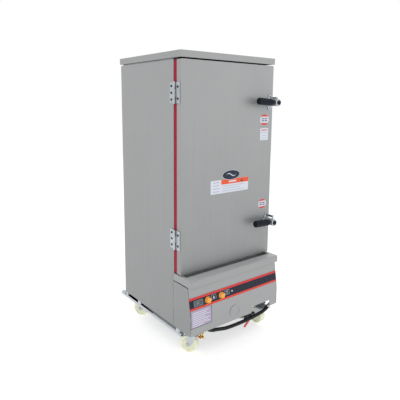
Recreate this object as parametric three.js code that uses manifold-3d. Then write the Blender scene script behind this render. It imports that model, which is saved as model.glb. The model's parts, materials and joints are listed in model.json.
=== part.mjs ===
// Gas-fired steam proofing cabinet: one insulated door over a projecting drip sill and a
// firebox, on a low base frame with four swivel casters.  Millimetres, +Z up.
// The cabinet is drawn with x = 0 on its centre plane, y = 0 on the seam between the cabinet
// side and the firebox (the door is on the -Y side) and z = 0 on the floor.  The finished
// group is then moved so that the origin is the centre of the footprint.
import * as THREE from 'three';
import { mergeVertices } from 'three/addons/utils/BufferGeometryUtils.js';
import Module from 'manifold-3d';

const wasm = await Module();
wasm.setup();

// ---------------------------------------------------------------- driving dimensions
const CAB_WIDTH = 700;            // over the side panels
const CAB_DEPTH = 580;            // seam to back panel
const CAB_HEIGHT = 1707;          // floor to top of lid
const SHEET = 1.5;                // stainless sheet
const FIT = 0.3;                  // gap kept between touching pieces

const LID_HEIGHT = 36;
const LID_OVERHANG = 5;
const LID_REVEAL = 8;             // shadow gap under the lid
const REVEAL_SETBACK = 10;

const FIREBOX_HEIGHT = 284;       // body underside to the sill
const SILL_HEIGHT = 41;           // drip sill under the door
const SILL_PROJECTION = 165;
const SILL_EDGE_RADIUS = 9;
const TROUGH_DEPTH = 30;
const TROUGH_WIDTH = 59;
const TROUGH_FRONT_RIM = 60;
const TROUGH_END_RIM = 18;

const FRAME_PROUD = 10;           // cabinet front edge, ahead of the seam
const WALL = 40;                  // insulated wall, outside face to chamber
const BACK_WALL = 48;
const TOP_WALL = 38;

const SEAL_THICK = 30;
const SEAL_WIDTH = 24;
const DOOR_THICK = 37;
const DOOR_GAP_BOTTOM = 5;
const DOOR_CORNER = 6;

const HINGE_LENGTH = 112;
const HINGE_LEAF = 3;
const HINGE_KNUCKLE_R = 8;
const HINGE_PIN_R = 4;
const HINGE_BODY_LEAF = 40;
const HINGE_DOOR_LEAF = 38;
const HINGE_INSET = 175;          // hinge centre to the end of the door
const RUNNING_GAP = 0.08;         // radial clearance of a pin or spindle

const LATCH_INSET_X = 28;         // latch spindle to the door edge
const LATCH_UPPER_DROP = 222;     // latch spindle below the door top
const LATCH_LOWER_RISE = 214;     // latch spindle above the door bottom
const LATCH_PLATE_W = 56;
const LATCH_PLATE_H = 92;
const LATCH_PLATE_T = 4;
const LATCH_COLLAR_R = 25;
const LATCH_COLLAR_L = 16;
const BARREL_R = 22;
const BARREL_L = 50;
const CAP_R = 15;
const CAP_L = 12;
const GRIP_R = 21;
const GRIP_REACH = 146;           // spindle axis to grip tip
const GRIP_RISE_DEG = 3.2;
const TONGUE_T = 5;
const TONGUE_W = 14;
const TONGUE_REACH = 44;
const KEEPER_T = 3;
const KEEPER_ARM_H = 14;
const KEEPER_LEAF_W = 40;
const KEEPER_LEAF_H = 56;
const KEEPER_LIP = 12;
const KEEPER_CLEARANCE = 13;      // tongue to arm at rest, room for the latching turn
const KEEPER_HOOK = 10;

const RACK_PITCH = 90;
const RACK_FIRST = 62;            // first runner above the chamber floor
const RUNNER_W = 20;
const RUNNER_LIP = 14;
const RACK_HEADROOM = 10;
const RACK_POST = 20;
const RACK_POST_T = 3;
const TRAY_HEIGHT = 48;
const TRAY_SHEET = 1.2;
const TRAY_RIM = 9;
const TRAY_RIM_T = 3;
const TRAY_CORNER = 22;
const TRAY_SETBACK = 60;          // chamber mouth to tray
const TRAY_SHARES = [0.25, 0.5, 0.75];    // filled levels, as shares of the rack
const TRAY_SIDE_GAP = 10;         // leaves a 600 mm wide tray
const TRAY_BACK_GAP = 72;         // leaves a 400 mm deep tray

const TANK_HEIGHT = 140;
const TANK_INSET = 10;            // chamber side to tank side
const TANK_SHEET = 2;
const STEAM_PLATE_T = 3;
const STEAM_PLATE_GAP = 42;       // open strip over the tank, front and back
const STEAM_SLOTS = 6;
const STEAM_SLOT_W = 12;
const BURNER_DROP = 90;           // tank floor to burner tube axis
const BURNER_TUBES = 5;
const BURNER_TUBE_R = 14;
const BURNER_REAR_GAP = 160;
const FLUE_WIDTH = 240;
const FLUE_DEPTH = 36;
const FLUE_SHEET = 2;

const FIREBOX_TOP_PROJECTION = 141;
const FIREBOX_FACE_PROJECTION = 169;
const SLOPE_DROP = 142;           // sill to where the sloped front meets the bend
const SLOPE_END_PROJECTION = 165;
const BEND_DROP = 38;             // height of the bend, with the upright front below it
const NOTCH_FROM_SIDE = 145;
const NOTCH_WIDTH = 160;
const NOTCH_HEIGHT = 40;
const NOTCH_RADIUS = 10;
const PORT_X = -21;               // round inspection cover pressed into the front
const PORT_RISE = 60;             // port centre above the body underside
const PORT_R = 35;
const PORT_PROUD = 2.5;
const SIDE_TOP_GAP = 6;           // open line under the sill, at the sides
const SEAM_GAP = 2.4;             // open line between the firebox and the cabinet side
const CORNER_GAP = 2.2;           // front sheet to side sheet

const STRIP_DROP = 65;            // control strip on the sloped front, below the sill
const STRIP_HEIGHT = 69;
const STRIP_T = 2;
const DISPLAY_FROM_SIDE = 60;
const DISPLAY_W = 60;
const DISPLAY_H = 30;
const DISPLAY_T = 3;
const KNOB_FROM_SIDE = [128, 230];
const KNOB_R = 15;
const KNOB_H = 20;
const KNOB_SPINDLE_R = 4;

const RAIL_HEIGHT = 20.4;         // base frame
const RAIL_DEPTH = 32;
const RAIL_WALL = 3;
const RAIL_INSET = 54;            // caster axis to the cross rail, towards the middle
const FRONT_CASTER_Y = -100;
const REAR_CASTER_SETBACK = 130;  // back panel to the caster axis
const BAR_WIDTH = 25;
const BAR_HEIGHT = 18;
const BAR_FRONT_Y = -78;
const BAR_LUG_SETBACK = [28, 6];  // lug between bar and body, near the back
const BAR_OVERREACH = 65;         // bar beyond the back panel

const CASTER_FROM_SIDE = 76;
const WHEEL_R = 52;
const WHEEL_WIDTH = 46;
const CASTER_TRAIL = 26;
const CASTER_PLATE_W = 76;
const CASTER_PLATE_T = 5;
const CASTER_RACE_R = 26;
const CASTER_RACE_H = 8;
const FORK_SHEET = 3;
const FORK_GAP = 2.5;
const CROWN_GAP = 4;              // wheel to fork crown
const AXLE_R = 5;
const CASTER_SWIVEL_DEG = { front_left: 210, front_right: 186, rear_left: 205, rear_right: 170 };

const VALVE_FROM_SIDE = 185;      // drain valve under the notch
const VALVE_Y = -116;
const VALVE_DROP = 45;            // below the body underside
const VALVE_R = 13;
const VALVE_LEFT = 55;            // spindle to the end on each side
const VALVE_RIGHT = 27;
const NIPPLE_LENGTH = 10;
const VALVE_NUT = 14;
const LEVER_LENGTH = 88;
const LEVER_WIDTH = 15;
const LEVER_T = 3;
const LEVER_REST_DEG = 50;        // from hanging straight down, towards the left
const PIPE_R = 8;

const TAP_FROM_SIDE = 92;         // brass water tap by the front left caster
const TAP_Y = -153;
const TAP_DROP = 39;
const TAP_R = 9;
const TAP_HEIGHT = 34;
const TAP_HANDLE = 30;

const HOSE_R = 11;                // gas hose hanging under the firebox front
const HOSE_LEFT = 124;            // hose ends, from the cabinet sides
const HOSE_RIGHT = 51;
const HOSE_SAG = [120, 300];      // stretch that follows the width of the cabinet
// Along the hose from its left end, depth, and height above the body underside.
const HOSE_ROUTE = [
  [525, -153, -1], [514, -153, -11], [498, -153, -21], [476, -153, -29], [448, -153, -35],
  [416, -153, -39], [376, -153, -43], [331, -153, -45.5], [286, -153, -46.5], [241, -153, -46.5],
  [196, -153, -45.5], [151, -153, -42], [116, -153, -35], [81, -153, -27], [48, -153, -20],
  [23, -153, -9], [7, -153, 9], [1, -153, 28], [0, -153, 44], [0, -153, 58],
];

// ---------------------------------------------------------------- places worked out from them
const HALF = CAB_WIDTH / 2;
const CASTER_HEIGHT = 2 * WHEEL_R + CROWN_GAP + FORK_SHEET + CASTER_RACE_H + FIT + CASTER_PLATE_T;
const BODY_BOTTOM = CASTER_HEIGHT + RAIL_HEIGHT + FIT;
const SILL_TOP = BODY_BOTTOM + FIREBOX_HEIGHT + SILL_HEIGHT;
const LID_BOTTOM = CAB_HEIGHT - LID_HEIGHT;
const BODY_TOP = LID_BOTTOM - LID_REVEAL;
const SILL_BOTTOM = SILL_TOP - SILL_HEIGHT;
const SLOPE_END_Z = SILL_BOTTOM - SLOPE_DROP;
const BEND_END_Z = SLOPE_END_Z - BEND_DROP;
const STRIP_TOP_Z = SILL_BOTTOM - STRIP_DROP;
const PORT_Z = BODY_BOTTOM + PORT_RISE;
const NOTCH_CENTRE_X = HALF - NOTCH_FROM_SIDE;
const DISPLAY_X = -HALF + DISPLAY_FROM_SIDE;
const KNOB_X = KNOB_FROM_SIDE.map((inset) => inset - HALF);
const SEAL_BACK = -FRAME_PROUD - FIT;
const DOOR_BACK = SEAL_BACK - SEAL_THICK;
const DOOR_FRONT = DOOR_BACK - DOOR_THICK;
const DOOR_BOTTOM = SILL_TOP + DOOR_GAP_BOTTOM;
const DOOR_TOP = BODY_TOP;
const CHAMBER_HALF = HALF - WALL;
const CHAMBER_BACK = CAB_DEPTH - BACK_WALL;
const CHAMBER_TOP = BODY_TOP - TOP_WALL;
const CHAMBER_FLOOR = SILL_TOP + 20;
const LINER_FRONT = 4;
const TRAY_WIDTH = 2 * (CHAMBER_HALF - TRAY_SIDE_GAP);
const TRAY_DEPTH = CHAMBER_BACK - TRAY_SETBACK - TRAY_BACK_GAP;
const RACK_TOP = CHAMBER_TOP - RUNNER_LIP - RACK_HEADROOM;
const RACK_LEVELS = Math.floor((RACK_TOP - CHAMBER_FLOOR - RACK_FIRST) / RACK_PITCH) + 1;
const TRAY_LEVELS = TRAY_SHARES.map((share) => Math.round(share * RACK_LEVELS));
const BURNER_LENGTH = CAB_DEPTH - BURNER_REAR_GAP;
const PIN_X = -HALF - HINGE_KNUCKLE_R;
const PIN_Y = DOOR_BACK + SEAL_THICK / 2;
const RAIL_TOP = BODY_BOTTOM - FIT;
const RAIL_BOTTOM = RAIL_TOP - RAIL_HEIGHT;
const BAR_TOP = RAIL_BOTTOM - FIT;
const PLATE_BOTTOM = RAIL_BOTTOM - CASTER_PLATE_T;
const BAR_REAR_Y = CAB_DEPTH + BAR_OVERREACH;
const BAR_LUG_Y = BAR_LUG_SETBACK.map((setback) => CAB_DEPTH - setback);
const CASTER_X = HALF - CASTER_FROM_SIDE;
const REAR_CASTER_Y = CAB_DEPTH - REAR_CASTER_SETBACK;
const VALVE_X = HALF - VALVE_FROM_SIDE;
const VALVE_Z = BODY_BOTTOM - VALVE_DROP;
const TAP_X = -HALF + TAP_FROM_SIDE;
const TAP_BOTTOM = BODY_BOTTOM - TAP_DROP;
const HOSE_SLACK = CAB_WIDTH - HOSE_LEFT - HOSE_RIGHT - HOSE_ROUTE[0][0];
const hosePoints = HOSE_ROUTE.map(([run, y, z]) => {
  const share = THREE.MathUtils.clamp((run - HOSE_SAG[0]) / (HOSE_SAG[1] - HOSE_SAG[0]), 0, 1);
  return [HOSE_LEFT - HALF + run + share * HOSE_SLACK, y, BODY_BOTTOM + z];
});
const TANK_TOP = CHAMBER_FLOOR - STEAM_PLATE_T - FIT;
const TANK_BOTTOM = TANK_TOP - TANK_HEIGHT;
const BURNER_Z = TANK_BOTTOM - BURNER_DROP;
const SLOPE = Math.atan2(SLOPE_END_PROJECTION - FIREBOX_TOP_PROJECTION, SILL_BOTTOM - SLOPE_END_Z);

// ---------------------------------------------------------------- materials
function steel(color, roughness = 0.4, metalness = 0.85) {
  return new THREE.MeshStandardMaterial({ color, roughness, metalness });
}
const MATERIAL = {
  stainless: steel(0xa9a9a8),
  liner: steel(0xbcbcba, 0.35),
  zinc: steel(0xb4b9bd, 0.35),
  chrome: steel(0xd9dde0, 0.15, 1),
  brass: steel(0xb58b3a, 0.35, 1),
  castSteel: steel(0x4a4c50, 0.6, 0.7),
  seal: steel(0x98203a, 0.6, 0),
  black: steel(0x17181a, 0.55, 0),
  strip: steel(0x14182a, 0.3, 0),
  display: steel(0x2a3338, 0.15, 0),
  orange: steel(0xe88a22, 0.45, 0),
  red: steel(0xc23a3a, 0.5, 0),
  nylon: steel(0xe3e2c4, 0.5, 0),
  foam: steel(0xe6d9a8, 0.9, 0),
  rubber: steel(0x15161a, 0.7, 0),
};

// ---------------------------------------------------------------- solids
function asSolid(geometry) {
  geometry.deleteAttribute('normal');
  geometry.deleteAttribute('uv');
  const merged = mergeVertices(geometry, 1e-4);
  const corner = merged.index.array;
  const triangles = [];
  for (let i = 0; i < corner.length; i += 3) {
    const [a, b, c] = [corner[i], corner[i + 1], corner[i + 2]];
    if (a !== b && b !== c && c !== a) triangles.push(a, b, c);
  }
  const vertProperties = Float32Array.from(merged.attributes.position.array);
  const build = (triVerts) => new wasm.Manifold(new wasm.Mesh({ numProp: 3, vertProperties, triVerts }));
  const solid = build(Uint32Array.from(triangles));
  return solid.volume() > 0 ? solid : build(Uint32Array.from(triangles).reverse());
}

function asGeometry(solid) {
  const mesh = solid.getMesh();
  const geometry = new THREE.BufferGeometry();
  geometry.setAttribute('position', new THREE.BufferAttribute(mesh.vertProperties, mesh.numProp));
  geometry.setIndex(new THREE.BufferAttribute(mesh.triVerts, 1));
  geometry.computeVertexNormals();
  return geometry;
}

function join(...solids) {
  return solids.reduce((whole, piece) => whole.add(piece));
}

function cut(solid, ...tools) {
  return tools.reduce((left, tool) => left.subtract(tool), solid);
}

function box(x, y, z) {
  const geometry = new THREE.BoxGeometry(x[1] - x[0], y[1] - y[0], z[1] - z[0]);
  geometry.translate((x[0] + x[1]) / 2, (y[0] + y[1]) / 2, (z[0] + z[1]) / 2);
  return asSolid(geometry);
}

function mirrored(side, near, far) {
  return side < 0 ? [-far, -near] : [near, far];
}

function outline(points) {
  return new THREE.Shape(points.map(([a, b]) => new THREE.Vector2(a, b)));
}

function roundedRect(width, height, radius, cx = 0, cy = 0) {
  const [w, h] = [width / 2, height / 2];
  const shape = new THREE.Shape();
  shape.absarc(cx + w - radius, cy + h - radius, radius, 0, Math.PI / 2);
  shape.absarc(cx - w + radius, cy + h - radius, radius, Math.PI / 2, Math.PI);
  shape.absarc(cx - w + radius, cy - h + radius, radius, Math.PI, 1.5 * Math.PI);
  shape.absarc(cx + w - radius, cy - h + radius, radius, 1.5 * Math.PI, 2 * Math.PI);
  return shape;
}

const PLANES = {
  x: [[0, 1, 0], [0, 0, 1], [1, 0, 0]],   // outline in (y, z), pushed along +X
  y: [[1, 0, 0], [0, 0, 1], [0, -1, 0]],  // outline in (x, z), pushed along -Y from the high end
  z: [[1, 0, 0], [0, 1, 0], [0, 0, 1]],   // outline in (x, y), pushed along +Z
};

function prism(axis, shape, from, to, curveSegments = 4) {
  const geometry = new THREE.ExtrudeGeometry(shape, { depth: to - from, bevelEnabled: false, curveSegments });
  const basis = PLANES[axis].map((v) => new THREE.Vector3(...v));
  const start = axis === 'y' ? -to : from;
  geometry.translate(0, 0, start);
  geometry.applyMatrix4(new THREE.Matrix4().makeBasis(...basis));
  return asSolid(geometry);
}

function cylinder(axis, radius, from, to, centre, sides = 24) {
  const geometry = new THREE.CylinderGeometry(radius, radius, to - from, sides);
  if (axis === 'x') geometry.rotateZ(-Math.PI / 2);
  if (axis === 'z') geometry.rotateX(Math.PI / 2);
  const middle = (from + to) / 2;
  const [a, b] = centre;
  const place = { x: [middle, a, b], y: [a, middle, b], z: [a, b, middle] }[axis];
  geometry.translate(...place);
  return asSolid(geometry);
}

function turned(solid, axis, degrees, pivot) {
  const matrix = new THREE.Matrix4().makeTranslation(...pivot);
  matrix.multiply(new THREE.Matrix4().makeRotationAxis(new THREE.Vector3(...axis), THREE.MathUtils.degToRad(degrees)));
  matrix.multiply(new THREE.Matrix4().makeTranslation(...pivot.map((v) => -v)));
  const geometry = asGeometry(solid);
  geometry.applyMatrix4(matrix);
  return asSolid(geometry);
}

const cabinet = new THREE.Group();

function piece(name, solid, material) {
  const mesh = new THREE.Mesh(asGeometry(solid), material);
  mesh.name = name;
  cabinet.add(mesh);
  return mesh;
}

// ---------------------------------------------------------------- cabinet shell
function sidePanel(side) {
  const profile = outline([
    [FIT / 2, BODY_BOTTOM], [CAB_DEPTH, BODY_BOTTOM], [CAB_DEPTH, BODY_TOP],
    [-FRAME_PROUD, BODY_TOP], [-FRAME_PROUD, SILL_TOP + FIT], [FIT / 2, SILL_TOP + FIT],
  ]);
  return prism('x', profile, ...mirrored(side, HALF - SHEET, HALF));
}

function backPanel() {
  const inner = HALF - SHEET - FIT;
  const sheet = box([-inner, inner], [CAB_DEPTH - SHEET, CAB_DEPTH], [BODY_BOTTOM, BODY_TOP]);
  const slots = [];
  for (let i = 0; i < 5; i += 1) {
    const z = BURNER_Z + i * 22;
    slots.push(box([-FLUE_WIDTH / 2 + 20, FLUE_WIDTH / 2 - 20], [CAB_DEPTH - 2 * SHEET, CAB_DEPTH + SHEET], [z, z + 8]));
  }
  return cut(sheet, ...slots);
}

function topPanel() {
  const inner = HALF - SHEET - FIT;
  const back = CAB_DEPTH - SHEET - FIT;
  const riser = HALF - REVEAL_SETBACK;
  const sheet = box([-inner, inner], [-FRAME_PROUD + SHEET + FIT, back], [BODY_TOP - SHEET, BODY_TOP]);
  const upstand = box([-riser, riser], [REVEAL_SETBACK, CAB_DEPTH - REVEAL_SETBACK], [BODY_TOP - SHEET, LID_BOTTOM - FIT]);
  const hollow = box(
    [-riser + SHEET, riser - SHEET],
    [REVEAL_SETBACK + SHEET, CAB_DEPTH - REVEAL_SETBACK - SHEET],
    [BODY_TOP, LID_BOTTOM],
  );
  return cut(join(sheet, upstand), hollow);
}

function topLid() {
  const side = HALF + LID_OVERHANG;
  const front = DOOR_FRONT - LID_OVERHANG;
  const back = CAB_DEPTH + LID_OVERHANG;
  const outer = box([-side, side], [front, back], [LID_BOTTOM, CAB_HEIGHT]);
  const inner = box(
    [-side + SHEET, side - SHEET],
    [front + SHEET, back - SHEET],
    [LID_BOTTOM - SHEET, CAB_HEIGHT - SHEET],
  );
  const returnFlange = box([-side, side], [front, back], [LID_BOTTOM, LID_BOTTOM + SHEET]);
  const flangeHole = box([-side + 18, side - 18], [front + 18, back - 18], [LID_BOTTOM - SHEET, LID_BOTTOM + 2 * SHEET]);
  return join(cut(outer, inner), cut(returnFlange, flangeHole));
}

function frontFrame() {
  const inner = HALF - SHEET - FIT;
  const y0 = -FRAME_PROUD;
  const plate = box([-inner, inner], [y0, y0 + SHEET], [SILL_TOP + FIT, BODY_TOP]);
  const mouth = box([-CHAMBER_HALF, CHAMBER_HALF], [y0 - 1, LINER_FRONT + 1], [CHAMBER_FLOOR, CHAMBER_TOP]);
  const collar = box(
    [-CHAMBER_HALF - SHEET, CHAMBER_HALF + SHEET],
    [y0 + SHEET, LINER_FRONT - FIT],
    [CHAMBER_FLOOR - SHEET, CHAMBER_TOP + SHEET],
  );
  return cut(join(plate, collar), mouth);
}

function chamberLiner() {
  const outer = box(
    [-CHAMBER_HALF - SHEET, CHAMBER_HALF + SHEET],
    [LINER_FRONT, CHAMBER_BACK + SHEET],
    [TANK_BOTTOM, CHAMBER_TOP + SHEET],
  );
  const inner = box(
    [-CHAMBER_HALF, CHAMBER_HALF],
    [LINER_FRONT - 1, CHAMBER_BACK],
    [TANK_BOTTOM - 1, CHAMBER_TOP],
  );
  const frontSkirt = box([-CHAMBER_HALF, CHAMBER_HALF], [LINER_FRONT, LINER_FRONT + SHEET], [TANK_BOTTOM, CHAMBER_FLOOR - FIT]);
  return join(cut(outer, inner), frontSkirt);
}

function insulation() {
  const side = HALF - SHEET - FIT;
  const outer = box([-side, side], [LINER_FRONT + FIT, CAB_DEPTH - SHEET - FIT], [TANK_BOTTOM, BODY_TOP - SHEET - FIT]);
  const hollow = CHAMBER_HALF + SHEET + FIT;
  const inner = box([-hollow, hollow], [0, CHAMBER_BACK + SHEET + FIT], [TANK_BOTTOM - 1, CHAMBER_TOP + SHEET + FIT]);
  return cut(outer, inner);
}

piece('left_panel', sidePanel(-1), MATERIAL.stainless);
piece('right_panel', sidePanel(1), MATERIAL.stainless);
piece('back_panel', backPanel(), MATERIAL.stainless);
piece('top_panel', topPanel(), MATERIAL.stainless);
piece('top_lid', topLid(), MATERIAL.stainless);
piece('front_frame', frontFrame(), MATERIAL.stainless);
piece('chamber_liner', chamberLiner(), MATERIAL.liner);
piece('insulation', insulation(), MATERIAL.foam);

// ---------------------------------------------------------------- racks and trays
const rackBack = TRAY_SETBACK + TRAY_DEPTH + RACK_POST / 2;
const rackFront = TRAY_SETBACK - RACK_POST / 2;

function rack(side) {
  const wall = CHAMBER_HALF - FIT;
  const postX = mirrored(side, wall - RACK_POST_T, wall);
  const bottom = CHAMBER_FLOOR + FIT;
  const top = CHAMBER_FLOOR + RACK_FIRST + (RACK_LEVELS - 1) * RACK_PITCH + RUNNER_LIP + RACK_HEADROOM;
  const posts = [rackFront, rackBack - RACK_POST].map((y) => box(postX, [y, y + RACK_POST], [bottom, top]));
  const runners = [];
  for (let level = 0; level < RACK_LEVELS; level += 1) {
    const z = CHAMBER_FLOOR + RACK_FIRST + level * RACK_PITCH;
    runners.push(box(mirrored(side, wall - RUNNER_W, wall - 1), [rackFront, rackBack], [z - SHEET, z]));
    runners.push(box(mirrored(side, wall - RACK_POST_T, wall - 1), [rackFront, rackBack], [z - SHEET, z + RUNNER_LIP]));
  }
  return join(...posts, ...runners);
}

function tray(level) {
  const floorZ = CHAMBER_FLOOR + RACK_FIRST + (level - 1) * RACK_PITCH + FIT;
  const [w, d] = [TRAY_WIDTH / 2, TRAY_DEPTH / 2];
  const y = TRAY_SETBACK + d;
  const panW = w - TRAY_RIM;
  const panD = d - TRAY_RIM;
  const corner = TRAY_CORNER;
  const pan = prism('z', roundedRect(2 * panW, 2 * panD, corner, 0, y), floorZ, floorZ + TRAY_HEIGHT, 3);
  const rimZ = [floorZ + TRAY_HEIGHT - TRAY_RIM_T, floorZ + TRAY_HEIGHT];
  const rim = prism('z', roundedRect(2 * w, 2 * d, corner + TRAY_RIM, 0, y), ...rimZ, 3);
  const inside = prism(
    'z',
    roundedRect(2 * (panW - TRAY_SHEET), 2 * (panD - TRAY_SHEET), corner - TRAY_SHEET, 0, y),
    floorZ + TRAY_SHEET,
    floorZ + TRAY_HEIGHT + 1,
    3,
  );
  return cut(join(pan, rim), inside);
}

piece('rack_left', rack(-1), MATERIAL.liner);
piece('rack_right', rack(1), MATERIAL.liner);
TRAY_LEVELS.forEach((level, i) => piece(`tray_${i + 1}`, tray(level), MATERIAL.liner));

// ---------------------------------------------------------------- water tank, burner and flue
const tankHalf = CHAMBER_HALF - TANK_INSET;
const tankFront = LINER_FRONT + SHEET + FIT;
const tankBack = CHAMBER_BACK - FIT;

function waterTank() {
  const outer = box([-tankHalf, tankHalf], [tankFront, tankBack], [TANK_BOTTOM, TANK_TOP]);
  const inner = box(
    [-tankHalf + TANK_SHEET, tankHalf - TANK_SHEET],
    [tankFront + TANK_SHEET, tankBack - TANK_SHEET],
    [TANK_BOTTOM + TANK_SHEET, TANK_TOP + 1],
  );
  return cut(outer, inner);
}

function steamPlate() {
  const half = CHAMBER_HALF - FIT;
  const [front, back] = [tankFront + STEAM_PLATE_GAP, tankBack - STEAM_PLATE_GAP];
  const plate = box([-half, half], [front, back], [TANK_TOP + FIT, CHAMBER_FLOOR]);
  const slots = [];
  const pitch = (back - front) / (STEAM_SLOTS + 1);
  for (let i = 1; i <= STEAM_SLOTS; i += 1) {
    const y = front + i * pitch;
    for (const side of [-1, 1]) {
      slots.push(box(
        mirrored(side, 30, tankHalf - 30),
        [y - STEAM_SLOT_W / 2, y + STEAM_SLOT_W / 2],
        [TANK_TOP, CHAMBER_FLOOR + 1],
      ));
    }
  }
  return cut(plate, ...slots);
}

function burner() {
  const front = tankFront + 30;
  const pitch = (2 * tankHalf - 120) / (BURNER_TUBES - 1);
  const tubes = [];
  for (let i = 0; i < BURNER_TUBES; i += 1) {
    const x = -tankHalf + 60 + i * pitch;
    tubes.push(cylinder('y', BURNER_TUBE_R, front - 10, front + BURNER_LENGTH, [x, BURNER_Z], 12));
  }
  const reach = tankHalf - 30;
  const manifold = box([-reach, reach], [front - 30, front], [BURNER_Z - 18, BURNER_Z + 18]);
  const legs = [];
  for (const x of [-reach, reach - 20]) {
    for (const y of [front - 30, front + BURNER_LENGTH - 20]) {
      legs.push(box([x, x + 20], [y, y + 20], [RAIL_TOP + SHEET + 2 * FIT, BURNER_Z + 4]));
    }
  }
  const crossBar = box([-reach, reach], [front + BURNER_LENGTH - 20, front + BURNER_LENGTH], [BURNER_Z - 6, BURNER_Z + 4]);
  return join(manifold, crossBar, ...tubes, ...legs);
}

function flueBox() {
  const back = CAB_DEPTH - SHEET - FIT;
  const front = back - FLUE_DEPTH;
  const half = FLUE_WIDTH / 2;
  const bottom = BURNER_Z - 20;
  const top = TANK_BOTTOM - FIT;
  const outer = box([-half, half], [front, back], [bottom, top]);
  const inner = box([-half + FLUE_SHEET, half - FLUE_SHEET], [front + FLUE_SHEET, back + 1], [bottom + FLUE_SHEET, top - FLUE_SHEET]);
  const inlet = box([-half + 30, half - 30], [front - 1, front + FLUE_SHEET + 1], [BURNER_Z + 20, top - 20]);
  return cut(outer, inner, inlet);
}

function basePan() {
  const inner = HALF - SHEET - FIT;
  const back = CAB_DEPTH - SHEET - FIT;
  const pan = box([-inner, inner], [FIT + SHEET, back], [BODY_BOTTOM, BODY_BOTTOM + SHEET]);
  const airHoles = [-1, 1].map((side) => box(
    mirrored(side, 60, CHAMBER_HALF - 40),
    [CAB_DEPTH * 0.3, CAB_DEPTH * 0.6],
    [BODY_BOTTOM - 1, BODY_BOTTOM + SHEET + 1],
  ));
  return cut(pan, ...airHoles);
}

piece('water_tank', waterTank(), MATERIAL.liner);
piece('steam_plate', steamPlate(), MATERIAL.liner);
piece('burner', burner(), MATERIAL.castSteel);
piece('flue_box', flueBox(), MATERIAL.stainless);
piece('base_pan', basePan(), MATERIAL.stainless);

// ---------------------------------------------------------------- drip sill and firebox
function sill() {
  const top = SILL_TOP;
  const front = -SILL_PROJECTION;
  const rear = -SEAM_GAP;
  const r = SILL_EDGE_RADIUS;
  const shape = new THREE.Shape();
  shape.moveTo(rear, SILL_BOTTOM);
  shape.lineTo(rear, top);
  shape.lineTo(front + r, top);
  shape.absarc(front + r, top - r, r, Math.PI / 2, Math.PI);
  shape.lineTo(front, SILL_BOTTOM);
  const block = prism('x', shape, -HALF, HALF, 5);
  const troughFront = front + TROUGH_FRONT_RIM;
  const end = HALF - TROUGH_END_RIM;
  const trough = box([-end, end], [troughFront, troughFront + TROUGH_WIDTH], [top - TROUGH_DEPTH, top + 1]);
  const wall = 2 * SHEET;
  const underRim = box([-end, end], [front + wall, troughFront - wall], [SILL_BOTTOM - 1, top - wall]);
  const underTrough = box([-end, end], [front + wall, rear - wall], [SILL_BOTTOM - 1, top - TROUGH_DEPTH - wall]);
  const behindTrough = box([-end, end], [troughFront + TROUGH_WIDTH + wall, rear - wall], [SILL_BOTTOM - 1, top - wall]);
  return cut(block, trough, underRim, underTrough, behindTrough);
}

const fireboxTop = SILL_BOTTOM - FIT;
const bodySeam = -SEAM_GAP;

// Front outline of the firebox in (y, z), from the sill down, moved in by an inset.
function frontProfile(inset = 0) {
  return [
    [-FIREBOX_TOP_PROJECTION + inset, fireboxTop],
    [-SLOPE_END_PROJECTION + inset, SLOPE_END_Z],
    [-FIREBOX_FACE_PROJECTION + inset, BEND_END_Z],
    [-FIREBOX_FACE_PROJECTION + inset, BODY_BOTTOM],
  ];
}

function fireboxSide(side) {
  const profile = outline([...frontProfile(), [bodySeam, BODY_BOTTOM], [bodySeam, fireboxTop]]);
  const sheet = prism('x', profile, ...mirrored(side, HALF - SHEET, HALF));
  const openLine = box([-HALF - 1, HALF + 1], [-CAB_DEPTH, CAB_DEPTH], [fireboxTop - SIDE_TOP_GAP, fireboxTop + 1]);
  return cut(sheet, openLine);
}

function fireboxFront() {
  const inner = HALF - SHEET - CORNER_GAP;
  const skin = [...frontProfile(), ...frontProfile(SHEET).reverse()];
  const sheet = prism('x', outline(skin), -inner, inner);
  const port = cylinder('y', PORT_R, -FIREBOX_FACE_PROJECTION - PORT_PROUD, -FIREBOX_FACE_PROJECTION + SHEET, [PORT_X, PORT_Z], 40);
  const portAboveBend = box([-inner, inner], [-CAB_DEPTH, 0], [BEND_END_Z, fireboxTop]);
  const lowerPort = cut(port, portAboveBend);
  const notch = prism(
    'y',
    roundedRect(NOTCH_WIDTH, 2 * NOTCH_HEIGHT, NOTCH_RADIUS, NOTCH_CENTRE_X, BODY_BOTTOM),
    -FIREBOX_FACE_PROJECTION - 5,
    -FIREBOX_FACE_PROJECTION + 5,
  );
  return cut(join(sheet, lowerPort), notch);
}

piece('sill', sill(), MATERIAL.stainless);
piece('firebox_left', fireboxSide(-1), MATERIAL.stainless);
piece('firebox_right', fireboxSide(1), MATERIAL.stainless);
piece('firebox_front', fireboxFront(), MATERIAL.stainless);

// Local frame of the sloped front: u runs down the slope and n stands off it.
function slopePoint(z) {
  const share = (SILL_BOTTOM - z) / (SILL_BOTTOM - SLOPE_END_Z);
  const y = -FIREBOX_TOP_PROJECTION - share * (SLOPE_END_PROJECTION - FIREBOX_TOP_PROJECTION);
  return [y, z];
}
const slopeDown = [-Math.sin(SLOPE), -Math.cos(SLOPE)];
const slopeOut = [-Math.cos(SLOPE), Math.sin(SLOPE)];

function onSlope(startZ, down, out) {
  const [y, z] = slopePoint(startZ);
  return [y + slopeDown[0] * down + slopeOut[0] * out, z + slopeDown[1] * down + slopeOut[1] * out];
}

function slopeSlab(x, startZ, down, low, high) {
  const corners = [
    onSlope(startZ, down[0], low), onSlope(startZ, down[0], high),
    onSlope(startZ, down[1], high), onSlope(startZ, down[1], low),
  ];
  return prism('x', outline(corners), ...x);
}

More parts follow.
